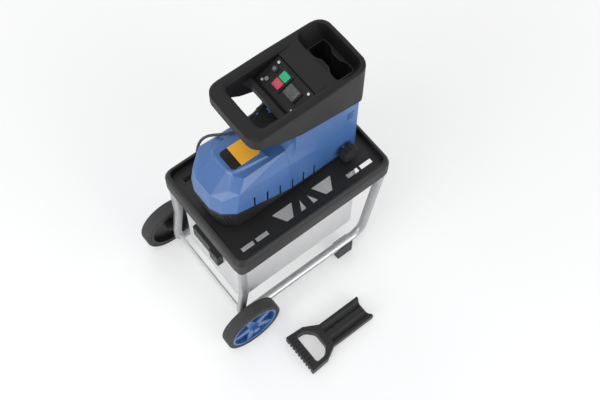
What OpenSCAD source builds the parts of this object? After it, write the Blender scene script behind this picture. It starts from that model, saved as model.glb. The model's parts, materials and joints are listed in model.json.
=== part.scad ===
// Electric garden shredder: a feed head on a blue housing, carried by a tray on a wheeled tube frame,
// with a slide-out collection box and a loose plunger. Millimetres, +Z up.
// The wheel end is -X, the foot end is +X, and the floor is z = 0 under the middle of the tray.

/* [Base tray] */
// Length of the base tray, wheel end to foot end
tray_l = 560; // [500:5:620]
// Width of the base tray
tray_w = 385; // [370:1:430]
// Height of the tray rim above the floor
tray_top = 481; // [460:1:520]
// Height of the tray's outer skirt
skirt_h = 65; // [55:1:80]
// Depth of the deck below the rim
deck_drop = 26; // [18:1:34]
// Width of the rim around the deck
rim_w = 16; // [12:1:20]
// Wall thickness of the tray
tray_t = 4; // [3:0.5:6]

/* [Frame and wheels] */
// Outside diameter of the frame tubes
tube_d = 28; // [22:1:30]
// Wall thickness of the frame tubes
tube_t = 1.5; // [1:0.1:3]
// Height of the bottom rails' centre line
rail_z = 66; // [50:1:80]
// Diameter of the wheels
wheel_d = 194; // [170:1:220]
// Width of the tyres
tyre_w = 43; // [30:1:55]
// Thickness of the tyre tread
tread_t = 14; // [8:1:20]
// Diameter of the axle
axle_d = 12; // [8:1:16]
// Length of the rail feet
foot_l = 58; // [40:1:80]

/* [Collection box] */
// Length of the collection box
box_l = 452; // [400:2:470]
// Width of the collection box at its walls
box_w = 280; // [240:2:284]
// Wall thickness of the collection box
box_t = 3; // [2:0.5:5]
// Width of the box grip
grip_w = 132; // [100:2:160]
// Height of the box grip
grip_h = 56; // [48:1:70]

/* [Housing] */
// Height of the motor cover above the deck
cover_h = 255; // [245:1:275]
// Width of the motor cover
cover_w = 190; // [180:1:200]
// Length of the motor cover, from its nose to the column piece
cover_l = 235; // [225:1:245]
// Length of the column under the head
col_l = 220; // [210:1:226]
// Width of the column
col_w = 154; // [146:1:162]
// Wall thickness of the housing shells
shell_t = 4; // [2.5:0.5:5]
// Diameter of the lock knob
lock_d = 88; // [70:1:92]
// Diameter of the adjusting knob
adjust_d = 58; // [46:1:64]

/* [Feed head] */
// Height of the head's rim above the deck
head_h = 460; // [450:1:490]
// Length of the head with its handle
head_l = 388; // [380:1:400]
// Width of the head
head_w = 216; // [206:1:226]
// Thickness of the handle bar along the machine
bar_t = 44; // [34:1:48]
// Width of each side rail of the handle
side_rail = 30; // [24:1:34]
// Depth of the feed basin
basin_h = 50; // [40:1:56]
// Length of the control panel along its slope
panel_l = 82; // [78:1:86]
// Width of the control panel
panel_w = 148; // [140:1:152]
// Tilt of the control panel
panel_tilt = 26; // [22:1:30]

/* [Drive] */
// Outside diameter of the motor can
motor_d = 112; // [96:1:116]
// Length of the motor can
motor_l = 118; // [100:1:124]
// Diameter of the cutter roller
roller_d = 90; // [76:1:92]
// Length of the cutter roller
roller_l = 90; // [70:1:92]
// Travel of the pressure plate towards the roller
plate_travel = 2.5; // [1:0.5:3]

/* [Plunger] */
// Length of the plunger's blade
blade_l = 162; // [130:1:190]
// Width of the plunger's blade
blade_w = 82; // [60:1:96]
// Width of the plunger's handle
grip_loop_w = 138; // [120:1:150]
// Length of the plunger's handle
grip_loop_l = 102; // [90:1:120]

/* [Hidden] */
$fn = 48;

// Fits
seat = 0.05;
gap = 0.4;

// Heights
deck_z = tray_top - deck_drop;
tray_bottom = tray_top - skirt_h;
deck_under = deck_z - tray_t;
cover_top = deck_z + cover_h;
head_top = deck_z + head_h;

// Frame
leg_x = tray_l / 2 - 21;
frame_y = tray_w / 2 - 22.5;
leg_top = deck_under - 4;
socket_r = tube_d / 2 + 3;
joggle = 16;
bend_swell = 0.4;
bend_lap = 1;
axle_x = -leg_x - joggle;
axle_z = wheel_d / 2;
spacer_l = 12.6;
wheel_in = frame_y + tube_d / 2 + spacer_l + gap;
wheel_out = wheel_in + tyre_w;
hub_r = wheel_d / 2 - tread_t;
foot_x = leg_x - 130;

// Collection box: hung on runners under the deck, clear of the axle as it slides out
box_top = tray_bottom - 4;
box_bottom = axle_z + axle_d / 2 + 9;
box_x0 = -leg_x + 3;
flange_w = 11;
flange_t = 4;
flange_y = box_w / 2 + flange_w;
lip_top = box_top - flange_t - gap;
runner_t = 3;
runner_x0 = -leg_x + socket_r + 2;
runner_x1 = box_x0 + box_l - 4;
grip_depth = 16;
grip_top = box_bottom + 206;

// Housing: the cover and the column piece meet at split_x
col_x1 = tray_l / 2 - 52;
col_x0 = col_x1 - col_l;
split_x = col_x0 - 35;
nose_x = split_x - cover_l;
nose_seam = deck_z + 135;
rear_seam = deck_z + 15;
seam_x0 = nose_x + 50;
seam_x1 = split_x + 137;
split_seam = nose_seam - (nose_seam - rear_seam) * (split_x - seam_x0) / (seam_x1 - seam_x0);
col_y = col_w / 2;
cover_y = cover_w / 2;
base_y = cover_y - 19;
ridge_y = cover_y - 21;
cover_front = nose_x + 11;
brow_z = cover_top - 60;
ridge_z0 = cover_top - 30;
ridge_z1 = cover_top - 53;
shoulder_h = 22;

// Head
head_x1 = col_x1 + 8;
head_x0 = head_x1 - head_l;
head_y = head_w / 2;
head_front_y = head_y - 6;
head_corner = 46;
rail_in = head_y - side_rail;
loop_x0 = head_x0 + bar_t;
panel_x = head_x0 + 146;
panel_z = head_top - 52;
panel_t = 3;
loop_x1 = panel_x - 30;
lip_z = head_top - 33;
basin_x0 = head_x1 - 106;
basin_x1 = head_x1 - 14;
slot_x = head_x1 - 54;
slot_l = 54;
slot_w = 124;
slot_waist = 34;
slot_z = head_top - basin_h;
chute_t = 3;
ceiling_z = slot_z - 8;
col_low_top = head_top - 111;

// Drive axes, as [y, z]
roller_axis = [0, deck_z + 85];
m1 = 1.25;
m2 = 1.5;
teeth_small = 10;
teeth_1 = 60;
teeth_2 = 72;
pair_1 = m1 * (teeth_small + teeth_1) / 2;
pair_2 = m2 * (teeth_small + teeth_2) / 2;
lay_angle = 75;
motor_angle = 235;
lay_axis = roller_axis + pair_2 * [cos(lay_angle), sin(lay_angle)];
motor_axis = lay_axis + pair_1 * [cos(motor_angle), sin(motor_angle)];
case_x0 = split_x - 28;
case_x1 = split_x + 66;
case_t = 4;
stage_1 = case_x0 + 12;
stage_2 = case_x0 + 42;
face_1 = 18;
face_2 = 26;
motor_x1 = case_x0;
motor_x0 = motor_x1 - motor_l;
shaft_r = 8;
stub_r = 3;
lay_r = 6;
roller_shaft_r = 10;
roller_x1 = col_x1 - 22;
roller_x0 = roller_x1 - roller_l;
bearing_t = 9;
bearing_r = 17;

// Adjuster: screw along Y into the pressure plate
screw_x = col_x1 - 43;
screw_z = deck_z + 46;
screw_r = 4;
knob_y = -col_y - 10;
knob_l = 27;
plate_y = -roller_d / 2 - plate_travel - 3;
plate_t = 12;
plate_z0 = roller_axis[1] - 50;
plate_z1 = roller_axis[1] + 24;
pin_z = roller_axis[1] + 8;

// Lock knob: upright in front of the column, on a boss of the cover
lock_x = split_x - 12;
lock_z = cover_top + 27;
lock_l = 40;
knob_room = 8;
lock_stud_r = 6;
boss_r = 11;

// Cord: from the gland beside the lock knob, over the cover's far edge, down to a plug on the deck
cord_d = 8;
cord_sides = 10;
plug_r = 18;
edge_y = ridge_y;
cord_route = [
    [split_x + 8, edge_y - 16, cover_top + 30], [split_x - 8, edge_y - 17, cover_top + 26],
    [split_x - 26, edge_y - 19, cover_top + 21], [split_x - 45, edge_y - 22, cover_top + 17],
    [split_x - 64, edge_y - 24, cover_top + 15], [split_x - 82, edge_y - 22, cover_top + 14],
    [split_x - 98, edge_y - 15, cover_top + 13], [split_x - 112, edge_y - 5, cover_top + 10],
    [split_x - 124, edge_y + 7, cover_top + 4], [split_x - 134, edge_y + 20, cover_top - 8],
    [split_x - 142, edge_y + 31, cover_top - 25], [split_x - 148, edge_y + 40, cover_top - 46],
    [split_x - 152, edge_y + 47, cover_top - 70], [split_x - 154, edge_y + 53, cover_top - 96],
    [split_x - 154, edge_y + 59, deck_z + 133], [split_x - 151, edge_y + 65, deck_z + 107],
    [split_x - 146, edge_y + 70, deck_z + 82], [split_x - 137, edge_y + 75, deck_z + 59],
    [split_x - 124, edge_y + 79, deck_z + 40], [split_x - 106, edge_y + 82, deck_z + 27],
    [split_x - 84, edge_y + 83, deck_z + 20], [split_x - 58, edge_y + 83, deck_z + plug_r],
    [split_x - 30, edge_y + 83, deck_z + plug_r]
];
cord_last = len(cord_route) - 1;

// Plunger: lies on the floor beside the machine
plunger_x = -206;
plunger_y = -frame_y - 203;
blade_t = 26;
loop_t = 34;

function unit(v) = v / norm(v);

// Outline with each corner softened by a curve that starts "cut" before it
function soft(pts, cut, n = 6) = [
    for (i = [0 : len(pts) - 1])
        let (
            v = pts[i],
            a = pts[(i + len(pts) - 1) % len(pts)],
            b = pts[(i + 1) % len(pts)],
            p = v + cut * unit(a - v),
            q = v + cut * unit(b - v)
        )
        for (k = [0 : n])
            let (s = k / n)
            (1 - s) * (1 - s) * p + 2 * s * (1 - s) * v + s * s * q
];
function rectangle(l, w) = [[-l / 2, -w / 2], [l / 2, -w / 2], [l / 2, w / 2], [-l / 2, w / 2]];

// A profile in Y and Z, run along X
module along_x(x0, x1) {
    translate([x0, 0, 0])
        rotate([90, 0, 90])
            linear_extrude(x1 - x0)
                children();
}

// A profile in X and Z, run along Y
module along_y(y0, y1) {
    translate([0, y1, 0])
        rotate([90, 0, 0])
            linear_extrude(y1 - y0)
                children();
}

// A plan outline, run upwards
module upright(z0, z1) {
    translate([0, 0, z0])
        linear_extrude(z1 - z0)
            children();
}

module block(x, y, z) {
    translate([x[0], y[0], z[0]])
        cube([x[1] - x[0], y[1] - y[0], z[1] - z[0]]);
}

// A round bar along X at a [y, z] axis
module rod_x(x0, x1, axis, r) {
    translate([x0, axis[0], axis[1]])
        rotate([0, 90, 0])
            cylinder(h = x1 - x0, r = r);
}

module rod_y(y0, y1, x, z, r) {
    translate([x, y1, z])
        rotate([90, 0, 0])
            cylinder(h = y1 - y0, r = r);
}

module ring_x(x0, x1, axis, r_in, r_out) {
    difference() {
        rod_x(x0, x1, axis, r_out);
        rod_x(x0 - 1, x1 + 1, axis, r_in);
    }
}

module both_sides() {
    children();
    mirror([0, 1, 0])
        children();
}

// Bent round bar in the XZ plane: straight runs, and true bends that are a hair thicker
module bent_bar(pts, radii, d, extra = 0) {
    last = len(pts) - 1;
    dirs = [for (i = [0 : last - 1]) unit(pts[i + 1] - pts[i])];
    turns = [
        for (i = [0 : last])
            i == 0 || i == last ? 0 :
            atan2(cross(dirs[i - 1], dirs[i]), dirs[i - 1] * dirs[i])
    ];
    cuts = [for (i = [0 : last]) radii[i] * tan(abs(turns[i]) / 2)];
    reach = [for (i = [0 : last]) i == 0 || i == last ? -extra : cuts[i] - bend_lap];
    rotate([90, 0, 0]) {
        for (i = [0 : last - 1]) {
            from = pts[i] + dirs[i] * reach[i];
            to = pts[i + 1] - dirs[i] * reach[i + 1];
            translate([from[0], from[1], 0])
                rotate([0, 90, atan2(dirs[i][1], dirs[i][0])])
                    cylinder(h = norm(to - from), d = d);
        }
        for (i = [1 : last - 1]) {
            way = turns[i] > 0 ? 1 : -1;
            heading = atan2(dirs[i - 1][1], dirs[i - 1][0]);
            side = [-dirs[i - 1][1], dirs[i - 1][0]] * way;
            middle = pts[i] - dirs[i - 1] * cuts[i] + side * radii[i];
            first = way > 0 ? heading - 90 : heading + 90 - abs(turns[i]);
            translate([middle[0], middle[1], 0])
                rotate([0, 0, first])
                    rotate_extrude(angle = abs(turns[i]))
                        translate([radii[i], 0])
                            circle(d = d + bend_swell);
        }
    }
}

// Spur gear with straight-flanked teeth and room for running
module gear(teeth, m, face, bore) {
    pitch = m * teeth / 2;
    tip = pitch + 0.85 * m;
    root = pitch - 1.25 * m;
    step = 360 / teeth;
    linear_extrude(face)
        difference() {
            polygon([
                for (i = [0 : teeth - 1])
                    for (c = [
                        [root, -0.30], [pitch, -0.185], [tip, -0.09],
                        [tip, 0.09], [pitch, 0.185], [root, 0.30]
                    ])
                        c[0] * [cos((i + c[1]) * step), sin((i + c[1]) * step)]
            ]);
            circle(r = bore);
        }
}

// Puts a gear's face on a shaft along X, turned by "spin"
module gear_on(x, axis, spin) {
    translate([x, axis[0], axis[1]])
        rotate([90, 0, 90])
            rotate([0, 0, spin])
                children();
}

// Base tray and frame
window_y0 = -col_y - 29;
window_y1 = -tray_w / 2 + 45;
window_x = 5;

// One half of the strut pattern on the near side of the deck, mirrored about its middle
module deck_windows() {
    for (side = [-1, 1])
        translate([window_x, 0])
            scale([side, 1]) {
                polygon([[36, window_y0], [107, window_y0], [83, window_y1], [60, window_y1]]);
                polygon([[13, window_y0 - 8], [13, window_y1], [31, window_y1]]);
            }
    for (x = [-tray_l / 2 + 45, -tray_l / 2 + 96, tray_l / 2 - 132, tray_l / 2 - 82])
        translate([x, window_y1])
            square([42, 14]);
}

module base_tray() {
    color([0.16, 0.16, 0.17])
        difference() {
            union() {
                difference() {
                    hull() {
                        upright(tray_bottom, tray_top - rim_w)
                            polygon(soft(rectangle(tray_l, tray_w), 34));
                        upright(tray_top - 1, tray_top)
                            polygon(soft(rectangle(tray_l - rim_w, tray_w - rim_w), 30));
                    }
                    upright(deck_z, tray_top + 1)
                        polygon(soft(rectangle(tray_l - 2 * rim_w, tray_w - 2 * rim_w), 22));
                    upright(tray_bottom - 1, deck_under)
                        polygon(soft(rectangle(tray_l - 2 * tray_t, tray_w - 2 * tray_t), 30));
                }
                for (x = [-leg_x, leg_x], y = [-frame_y, frame_y])
                    translate([x, y, tray_bottom - 10])
                        cylinder(h = deck_under - tray_bottom + 11, r = socket_r);
            }
            for (x = [-leg_x, leg_x], y = [-frame_y, frame_y])
                translate([x, y, tray_bottom - 11])
                    cylinder(h = leg_top - tray_bottom + 11, r = tube_d / 2 + seat);
            both_sides()
                upright(deck_under - 1, deck_z + 1)
                    deck_windows();
            block(chip_x, chip_y, [deck_under - 1, deck_z + 1]);
        }
}

module side_frame_at(y) {
    path = [
        [-leg_x, leg_top], [-leg_x, axle_z + 138], [axle_x, axle_z + 30], [axle_x, rail_z],
        [leg_x - 56, rail_z], [leg_x, tray_bottom - 18], [leg_x, leg_top]
    ];
    radii = [0, 60, 60, 20, 50, 60, 0];
    color([0.72, 0.73, 0.74])
        difference() {
            translate([0, y, 0])
                bent_bar(path, radii, tube_d);
            translate([0, y, 0])
                bent_bar(path, radii, tube_d - 2 * tube_t, 1);
            rod_y(y - tube_d, y + tube_d, axle_x, axle_z, axle_d / 2 + seat);
        }
}

module near_side_frame() {
    side_frame_at(-frame_y);
}

module far_side_frame() {
    side_frame_at(frame_y);
}

module rail_foot_at(y) {
    color([0.12, 0.12, 0.13])
        difference() {
            block(
                [foot_x - foot_l / 2, foot_x + foot_l / 2],
                [y - tube_d / 2 - 3, y + tube_d / 2 + 3],
                [0, rail_z]
            );
            rod_x(foot_x - foot_l, foot_x + foot_l, [y, rail_z], tube_d / 2 + seat);
        }
}

module near_rail_foot() {
    rail_foot_at(-frame_y);
}

module far_rail_foot() {
    rail_foot_at(frame_y);
}

module axle() {
    color([0.6, 0.6, 0.62])
        rod_y(-wheel_out - 6, wheel_out + 6, axle_x, axle_z, axle_d / 2);
}

module axle_spacers() {
    color([0.12, 0.12, 0.13])
        both_sides()
            difference() {
                rod_y(wheel_in - gap - spacer_l, wheel_in - gap, axle_x, axle_z, axle_d / 2 + 3);
                rod_y(wheel_in - 40, wheel_in + 1, axle_x, axle_z, axle_d / 2 + seat);
            }
}

module axle_caps() {
    color([0.12, 0.12, 0.13])
        both_sides()
            difference() {
                rod_y(wheel_out + gap, wheel_out + 9, axle_x, axle_z, axle_d / 2 + 6);
                rod_y(wheel_out - 1, wheel_out + 6, axle_x, axle_z, axle_d / 2 + seat);
            }
}

// Tyre on its side: axis along Z, inner face at z = 0
module tyre() {
    shoulder = 5;
    rotate_extrude($fn = 96)
        polygon([
            [hub_r + seat, 1], [hub_r + 6, 0], [wheel_d / 2 - shoulder, 0],
            [wheel_d / 2 - 1.5, shoulder * 0.4], [wheel_d / 2, shoulder], [wheel_d / 2, tyre_w - shoulder],
            [wheel_d / 2 - 1.5, tyre_w - shoulder * 0.4],
            [wheel_d / 2 - shoulder, tyre_w], [hub_r + 6, tyre_w], [hub_r + seat, tyre_w - 1]
        ]);
}

// Zig-zag ribs between boss and rim, as a flat outline
module zigzag(r0, r1, width) {
    from = [r0, 0];
    to = r1 * [cos(36), sin(36)];
    for (i = [0 : 4], turn = [0, 1])
        rotate(72 * i)
            mirror([0, turn])
                translate(from)
                    rotate(atan2(to[1] - from[1], to[0] - from[0]))
                        translate([0, -width / 2])
                            square([norm(to - from), width]);
}

// Hub on its side: rim, web and boss turned in one piece, with zig-zag ribs on the outer face
module wheel_hub() {
    rim_t = 8;
    centre_r = axle_d / 2 + 11;
    bore_r = axle_d / 2 + seat;
    web_z = tyre_w * 0.45;
    rotate_extrude($fn = 96)
        polygon([
            [bore_r, 0], [centre_r, 0], [centre_r, web_z], [hub_r - rim_t, web_z], [hub_r - rim_t, 2],
            [hub_r, 2], [hub_r, tyre_w - 2], [hub_r - rim_t, tyre_w - 2], [hub_r - rim_t, web_z + 4],
            [centre_r, web_z + 4], [centre_r, tyre_w], [bore_r, tyre_w]
        ]);
    translate([0, 0, web_z + 2])
        linear_extrude(tyre_w - web_z - 8)
            zigzag(centre_r - 3, hub_r - rim_t + 4, 14);
}

// Places a wheel piece: its outer face looks away from the machine
module on_wheel(side) {
    translate([axle_x, side * wheel_in, axle_z])
        rotate([-90 * side, 0, 0])
            children();
}

module near_tyre() {
    color([0.1, 0.1, 0.11])
        on_wheel(-1)
            tyre();
}

module far_tyre() {
    color([0.1, 0.1, 0.11])
        on_wheel(1)
            tyre();
}

module near_wheel_hub() {
    color([0.22, 0.38, 0.66])
        on_wheel(-1)
            wheel_hub();
}

module far_wheel_hub() {
    color([0.22, 0.38, 0.66])
        on_wheel(1)
            wheel_hub();
}

// Collection box and its runners
module box_runner() {
    web_y = flange_y + gap + 1;
    color([0.14, 0.14, 0.15])
        along_x(runner_x0, runner_x1)
            polygon([
                [box_w / 2 + 2, lip_top - 4], [web_y + runner_t, lip_top - 4],
                [web_y + runner_t, deck_under],
                [web_y, deck_under], [web_y, lip_top], [box_w / 2 + 2, lip_top]
            ]);
}

module near_box_runner() {
    mirror([0, 1, 0])
        box_runner();
}

module far_box_runner() {
    box_runner();
}

module collection_box() {
    middle = box_x0 + box_l / 2;
    color([0.95, 0.95, 0.95])
        difference() {
            union() {
                upright(box_bottom, box_top)
                    translate([middle, 0])
                        polygon(soft(rectangle(box_l, box_w), 26));
                block(
                    [runner_x0 + 2, box_x0 + box_l - 30],
                    [-flange_y, flange_y],
                    [box_top - flange_t, box_top]
                );
            }
            upright(box_bottom + box_t, box_top + 1)
                translate([middle, 0])
                    polygon(soft(rectangle(box_l - 2 * box_t, box_w - 2 * box_t), 24));
        }
}

// Hooked pull on the wheel-end wall of the box, thicker at its near end
module box_grip() {
    z1 = grip_top;
    z0 = grip_top - grip_h;
    color([0.12, 0.12, 0.13]) {
        along_y(-grip_w / 2, grip_w / 2)
            polygon([
                [box_x0, z1], [box_x0 - grip_depth, z1], [box_x0 - grip_depth, z0],
                [box_x0 - grip_depth + 5, z0],
                [box_x0 - grip_depth + 5, z1 - 6], [box_x0, z1 - 6]
            ]);
        block([box_x0 - grip_depth, box_x0], [-grip_w / 2, -grip_w / 2 + 5], [z0, z1 - 5.5]);
        block([box_x0 - grip_depth, box_x0], [grip_w / 2 - 5, grip_w / 2], [z0, z1 - 5.5]);
        block(
            [box_x0 - grip_depth - 6, box_x0 - grip_depth + 1],
            [-grip_w / 2, -grip_w / 2 + 42],
            [z0, z1]
        );
    }
}

// Housing shells: the seam runs from high at the nose to low at the column
module below_seam() {
    along_y(-tray_w / 2, tray_w / 2)
        polygon([
            [nose_x - 50, deck_z - 1], [col_x1 + 50, deck_z - 1], [col_x1 + 50, rear_seam],
            [seam_x1, rear_seam], [seam_x0, nose_seam], [nose_x - 50, nose_seam]
        ]);
}

module above_seam() {
    along_y(-tray_w / 2, tray_w / 2)
        polygon([
            [nose_x - 50, head_top], [nose_x - 50, nose_seam], [seam_x0, nose_seam], [seam_x1, rear_seam],
            [col_x1 + 50, rear_seam], [col_x1 + 50, head_top]
        ]);
}

// Plan outline with a five-sided nose; "inset" makes the inside
function nose_plan(nose, depth, front, half, end_x, inset) = [
    [nose + inset, -front], [nose + 0.3 * depth + inset, -front - 0.57 * (half - front) + inset * 0.4],
    [nose + depth + inset * 0.5, -half + inset], [end_x, -half + inset], [end_x, half - inset],
    [nose + depth + inset * 0.5, half - inset],
    [nose + 0.3 * depth + inset, front + 0.57 * (half - front) - inset * 0.4], [nose + inset, front]
];

module base_form(inset, lift) {
    hull() {
        upright(deck_z + inset, deck_z + inset + 1)
            polygon(nose_plan(nose_x + 22, 41, 20, base_y, col_x1 - inset, inset));
        upright(nose_seam - 1 + lift, nose_seam + lift)
            polygon(nose_plan(nose_x, 50, 35, cover_y + 2, seam_x0, inset));
        along_x(split_x - 1, split_x)
            translate([-cover_y + inset, split_seam - 1 + lift])
                square([cover_w - 2 * inset, 1]);
        along_x(seam_x1, col_x1 - inset)
            translate([-col_y - 1 + inset, rear_seam - 1 + lift])
                square([col_w + 2 - 2 * inset, 1]);
    }
}

module base_housing() {
    color([0.11, 0.11, 0.12])
        difference() {
            union() {
                difference() {
                    base_form(0, 0);
                    base_form(shell_t, 3);
                    above_seam();
                }
                motor_saddles();
            }
            block(chip_x, chip_y, [deck_z - 1, deck_z + shell_t + 1]);
            for (side = [-1, 1], i = [0 : 4])
                translate([nose_x + 32, side * (cover_y - 40), deck_z + 60])
                    rotate([0, 0, side * -38])
                        translate([-12 + 9 * i, -30, 0])
                            cube([3, 60, 62]);
        }
}

// Saddles on the base floor that carry the motor can
module motor_saddles() {
    for (x = [motor_x0 + 16, motor_x1 - 24])
        difference() {
            block([x, x + 10], [motor_axis[0] - 40, motor_axis[0] + 40], [deck_z + 1, motor_axis[1] - 30]);
            rod_x(x - 1, x + 11, motor_axis, motor_d / 2 + seat);
        }
}

module cover_form(inset, end_x) {
    hull() {
        upright(deck_z, nose_seam)
            polygon(nose_plan(nose_x, 50, 35, cover_y + 2, end_x, inset));
        upright(brow_z - 1 - inset, brow_z - inset)
            polygon(nose_plan(cover_front, 48, 33, cover_y, seam_x0 + 10, inset));
        upright(ridge_z0 - 1 - inset, ridge_z0 - inset)
            polygon(nose_plan(cover_front + 30, 26, 31, cover_y - 1, seam_x0 + 16, inset));
        upright(cover_top - 1 - inset, cover_top - inset)
            polygon(nose_plan(cover_front + 61, 25, 28, ridge_y, end_x, inset));
        along_x(end_x - 1, end_x)
            translate([-cover_y + 1 + inset, ridge_z1 - 1 - inset])
                square([cover_w - 2 - 2 * inset, 1]);
    }
}

// Ventilation notches that rise from the seam on both flanks
module flank_notches() {
    for (i = [0 : 5])
        let (
            x = seam_x0 + 59 + 44 * i,
            z = nose_seam - (x - seam_x0) * (nose_seam - rear_seam) / (seam_x1 - seam_x0)
        )
        block([x, x + 5], [-cover_y - 10, cover_y + 10], [z - 9, z + 48]);
}

module motor_cover() {
    color([0.22, 0.38, 0.66])
        difference() {
            union() {
                difference() {
                    cover_form(0, split_x);
                    cover_form(shell_t, split_x + 1);
                }
                label_pad();
                translate([lock_x, 0, cover_top - 12])
                    cylinder(h = lock_z - gap - cover_top + 12, r = boss_r);
            }
            below_seam();
            flank_notches();
            translate([lock_x, 0, cover_top - 8])
                cylinder(h = lock_z - cover_top + 9, r = lock_stud_r + seat);
        }
}

pad_h = 9;
pad_x0 = nose_x + 73;
pad_x1 = nose_x + 183;

// Raised pad on the cover's top, wider towards the column
module label_pad() {
    hull() {
        upright(cover_top - 2, cover_top)
            polygon([
                [pad_x0 - 6, -32], [pad_x0 + 4, -50], [pad_x1 + 8, -66],
                [pad_x1 + 8, 66], [pad_x0 + 4, 50], [pad_x0 - 6, 32]
            ]);
        upright(cover_top, cover_top + pad_h)
            polygon([
                [pad_x0, -25], [pad_x0 + 7, -43], [pad_x1, -60],
                [pad_x1, 60], [pad_x0 + 7, 43], [pad_x0, 25]
            ]);
    }
}

module label_plate() {
    color([0.93, 0.66, 0.12])
        upright(cover_top + pad_h, cover_top + pad_h + 0.6)
            polygon([
                [pad_x0 + 40, -42], [pad_x1 - 10, -42], [pad_x1 - 3, -34],
                [pad_x1 - 3, 17], [pad_x1 - 10, 25],
                [pad_x0 + 40, 25]
            ]);
}

module rating_plate() {
    color([0.1, 0.1, 0.11])
        upright(cover_top + pad_h, cover_top + pad_h + 0.6)
            polygon([
                [pad_x0 + 11, -34], [pad_x0 + 18, -41], [pad_x0 + 39.5, -42], [pad_x0 + 39.5, 25],
                [pad_x0 + 18, 25], [pad_x0 + 11, 18]
            ]);
}

// Column: upright box with a low step under the switches, a sloped shoulder and widening flanks
module column_form(inset) {
    along_y(-col_y + inset, col_y - inset)
        polygon([
            [col_x0 + inset, deck_z], [col_x1 - inset, deck_z], [col_x1 - inset, ceiling_z - inset],
            [basin_x0 + 12 + inset, ceiling_z - inset], [basin_x0 - 8 + inset, col_low_top - inset],
            [col_x0 + inset, col_low_top - inset]
        ]);
}

module shoulder_form(inset, start_x) {
    along_y(-ridge_y + inset, ridge_y - inset)
        polygon([
            [start_x, ridge_z1 - 20], [start_x, cover_top - inset], [split_x + inset, cover_top - inset],
            [col_x0 + inset, cover_top + shoulder_h - inset], [col_x0 + inset + 6, ridge_z1 - 20]
        ]);
}

module flank_form(inset, start_x) {
    end_x = seam_x1 - inset;
    hull() {
        along_x(start_x, start_x + 1)
            polygon([
                [-ridge_y + inset, cover_top - inset], [-cover_y + 1 + inset, ridge_z1 - inset],
                [-cover_y - 2 + inset, nose_seam], [-cover_y - 2 + inset, deck_z],
                [cover_y + 2 - inset, deck_z], [cover_y + 2 - inset, nose_seam],
                [cover_y - 1 - inset, ridge_z1 - inset], [ridge_y - inset, cover_top - inset]
            ]);
        along_x(end_x - 1, end_x)
            polygon([
                [-col_y + 3 + inset, cover_top - 90 - inset], [-col_y - 1 + inset, cover_top - 112 - inset],
                [-col_y - 1 + inset, deck_z], [col_y + 1 - inset, deck_z],
                [col_y + 1 - inset, cover_top - 112 - inset], [col_y - 3 - inset, cover_top - 90 - inset]
            ]);
    }
}

module column_housing() {
    color([0.22, 0.38, 0.66])
        difference() {
            union() {
                column_form(0);
                shoulder_form(0, split_x);
                flank_form(0, split_x);
            }
            column_form(shell_t);
            shoulder_form(shell_t, split_x - 1);
            flank_form(shell_t, split_x - 1);
            below_seam();
            flank_notches();
            feed_way(chute_t + gap);
            rod_y(-col_y - 30, 0, screw_x, screw_z, screw_r + gap);
            rear_opening();
            rod_x(col_x0 - 1, col_x0 + shell_t + 1, [cord_route[0][1], cord_route[0][2]], 7 + seat);
        }
}

// Opening behind the rear panel for reaching the roller
panel_top = head_top - 160;

module rear_opening() {
    block([col_x1 - shell_t - 1, col_x1 + 1], [-col_y + 18, col_y - 18], [rear_seam + 20, rear_seam + 210]);
}

module rear_panel() {
    color([0.1, 0.1, 0.11]) {
        block([col_x1, col_x1 + 3], [-col_y + 6, col_y - 6], [rear_seam + 4, panel_top - 24]);
        block(
            [col_x1 - shell_t, col_x1 + 1],
            [-col_y + 18.2, col_y - 18.2],
            [rear_seam + 20.2, rear_seam + 209.8]
        );
    }
}

// Screws that hold the cover's flanks and the rear panel
module cover_screws() {
    color([0.75, 0.75, 0.76])
        for (y = [-col_y + 12, col_y - 12], z = [rear_seam + 11, panel_top - 32])
            translate([col_x1 + 3, y, z])
                rotate([0, 90, 0])
                    difference() {
                        cylinder(h = 2.5, r = 4);
                        translate([-3, -0.6, 1.5])
                            cube([6, 1.2, 2]);
                    }
}

// Lock knob and its stud
module lock_knob() {
    lobes = 6;
    lobe_r = lock_d * 0.16;
    color([0.15, 0.15, 0.16])
        translate([lock_x, 0, lock_z])
            difference() {
                union() {
                    cylinder(h = lock_l, r = lock_d / 2 - lobe_r);
                    for (i = [0 : lobes - 1])
                        rotate([0, 0, 360 * i / lobes])
                            translate([lock_d / 2 - lobe_r, 0, 3])
                                cylinder(h = lock_l - 6, r = lobe_r);
                }
                translate([0, 0, -1])
                    cylinder(h = 25, r = lock_stud_r + seat);
            }
}

module lock_stud() {
    color([0.7, 0.7, 0.72])
        translate([lock_x, 0, cover_top - 8])
            cylinder(h = lock_z - cover_top + 8 + 22, r = lock_stud_r);
}

// Adjuster and pressure plate
module adjusting_knob() {
    ribs = 14;
    color([0.1, 0.1, 0.11])
        difference() {
            union() {
                rod_y(knob_y - knob_l, knob_y, screw_x, screw_z, adjust_d / 2 - 3);
                for (i = [0 : ribs - 1])
                    translate([screw_x, knob_y - 3, screw_z])
                        rotate([90, 360 * i / ribs, 0])
                            translate([adjust_d / 2 - 4, 0, 0])
                                cylinder(h = knob_l - 6, r = 4);
            }
            rod_y(knob_y - knob_l + 6, knob_y + 1, screw_x, screw_z, screw_r + seat);
        }
}

module adjusting_screw() {
    color([0.7, 0.7, 0.72])
        rod_y(knob_y - knob_l + 6, plate_y, screw_x, screw_z, screw_r);
}

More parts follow.
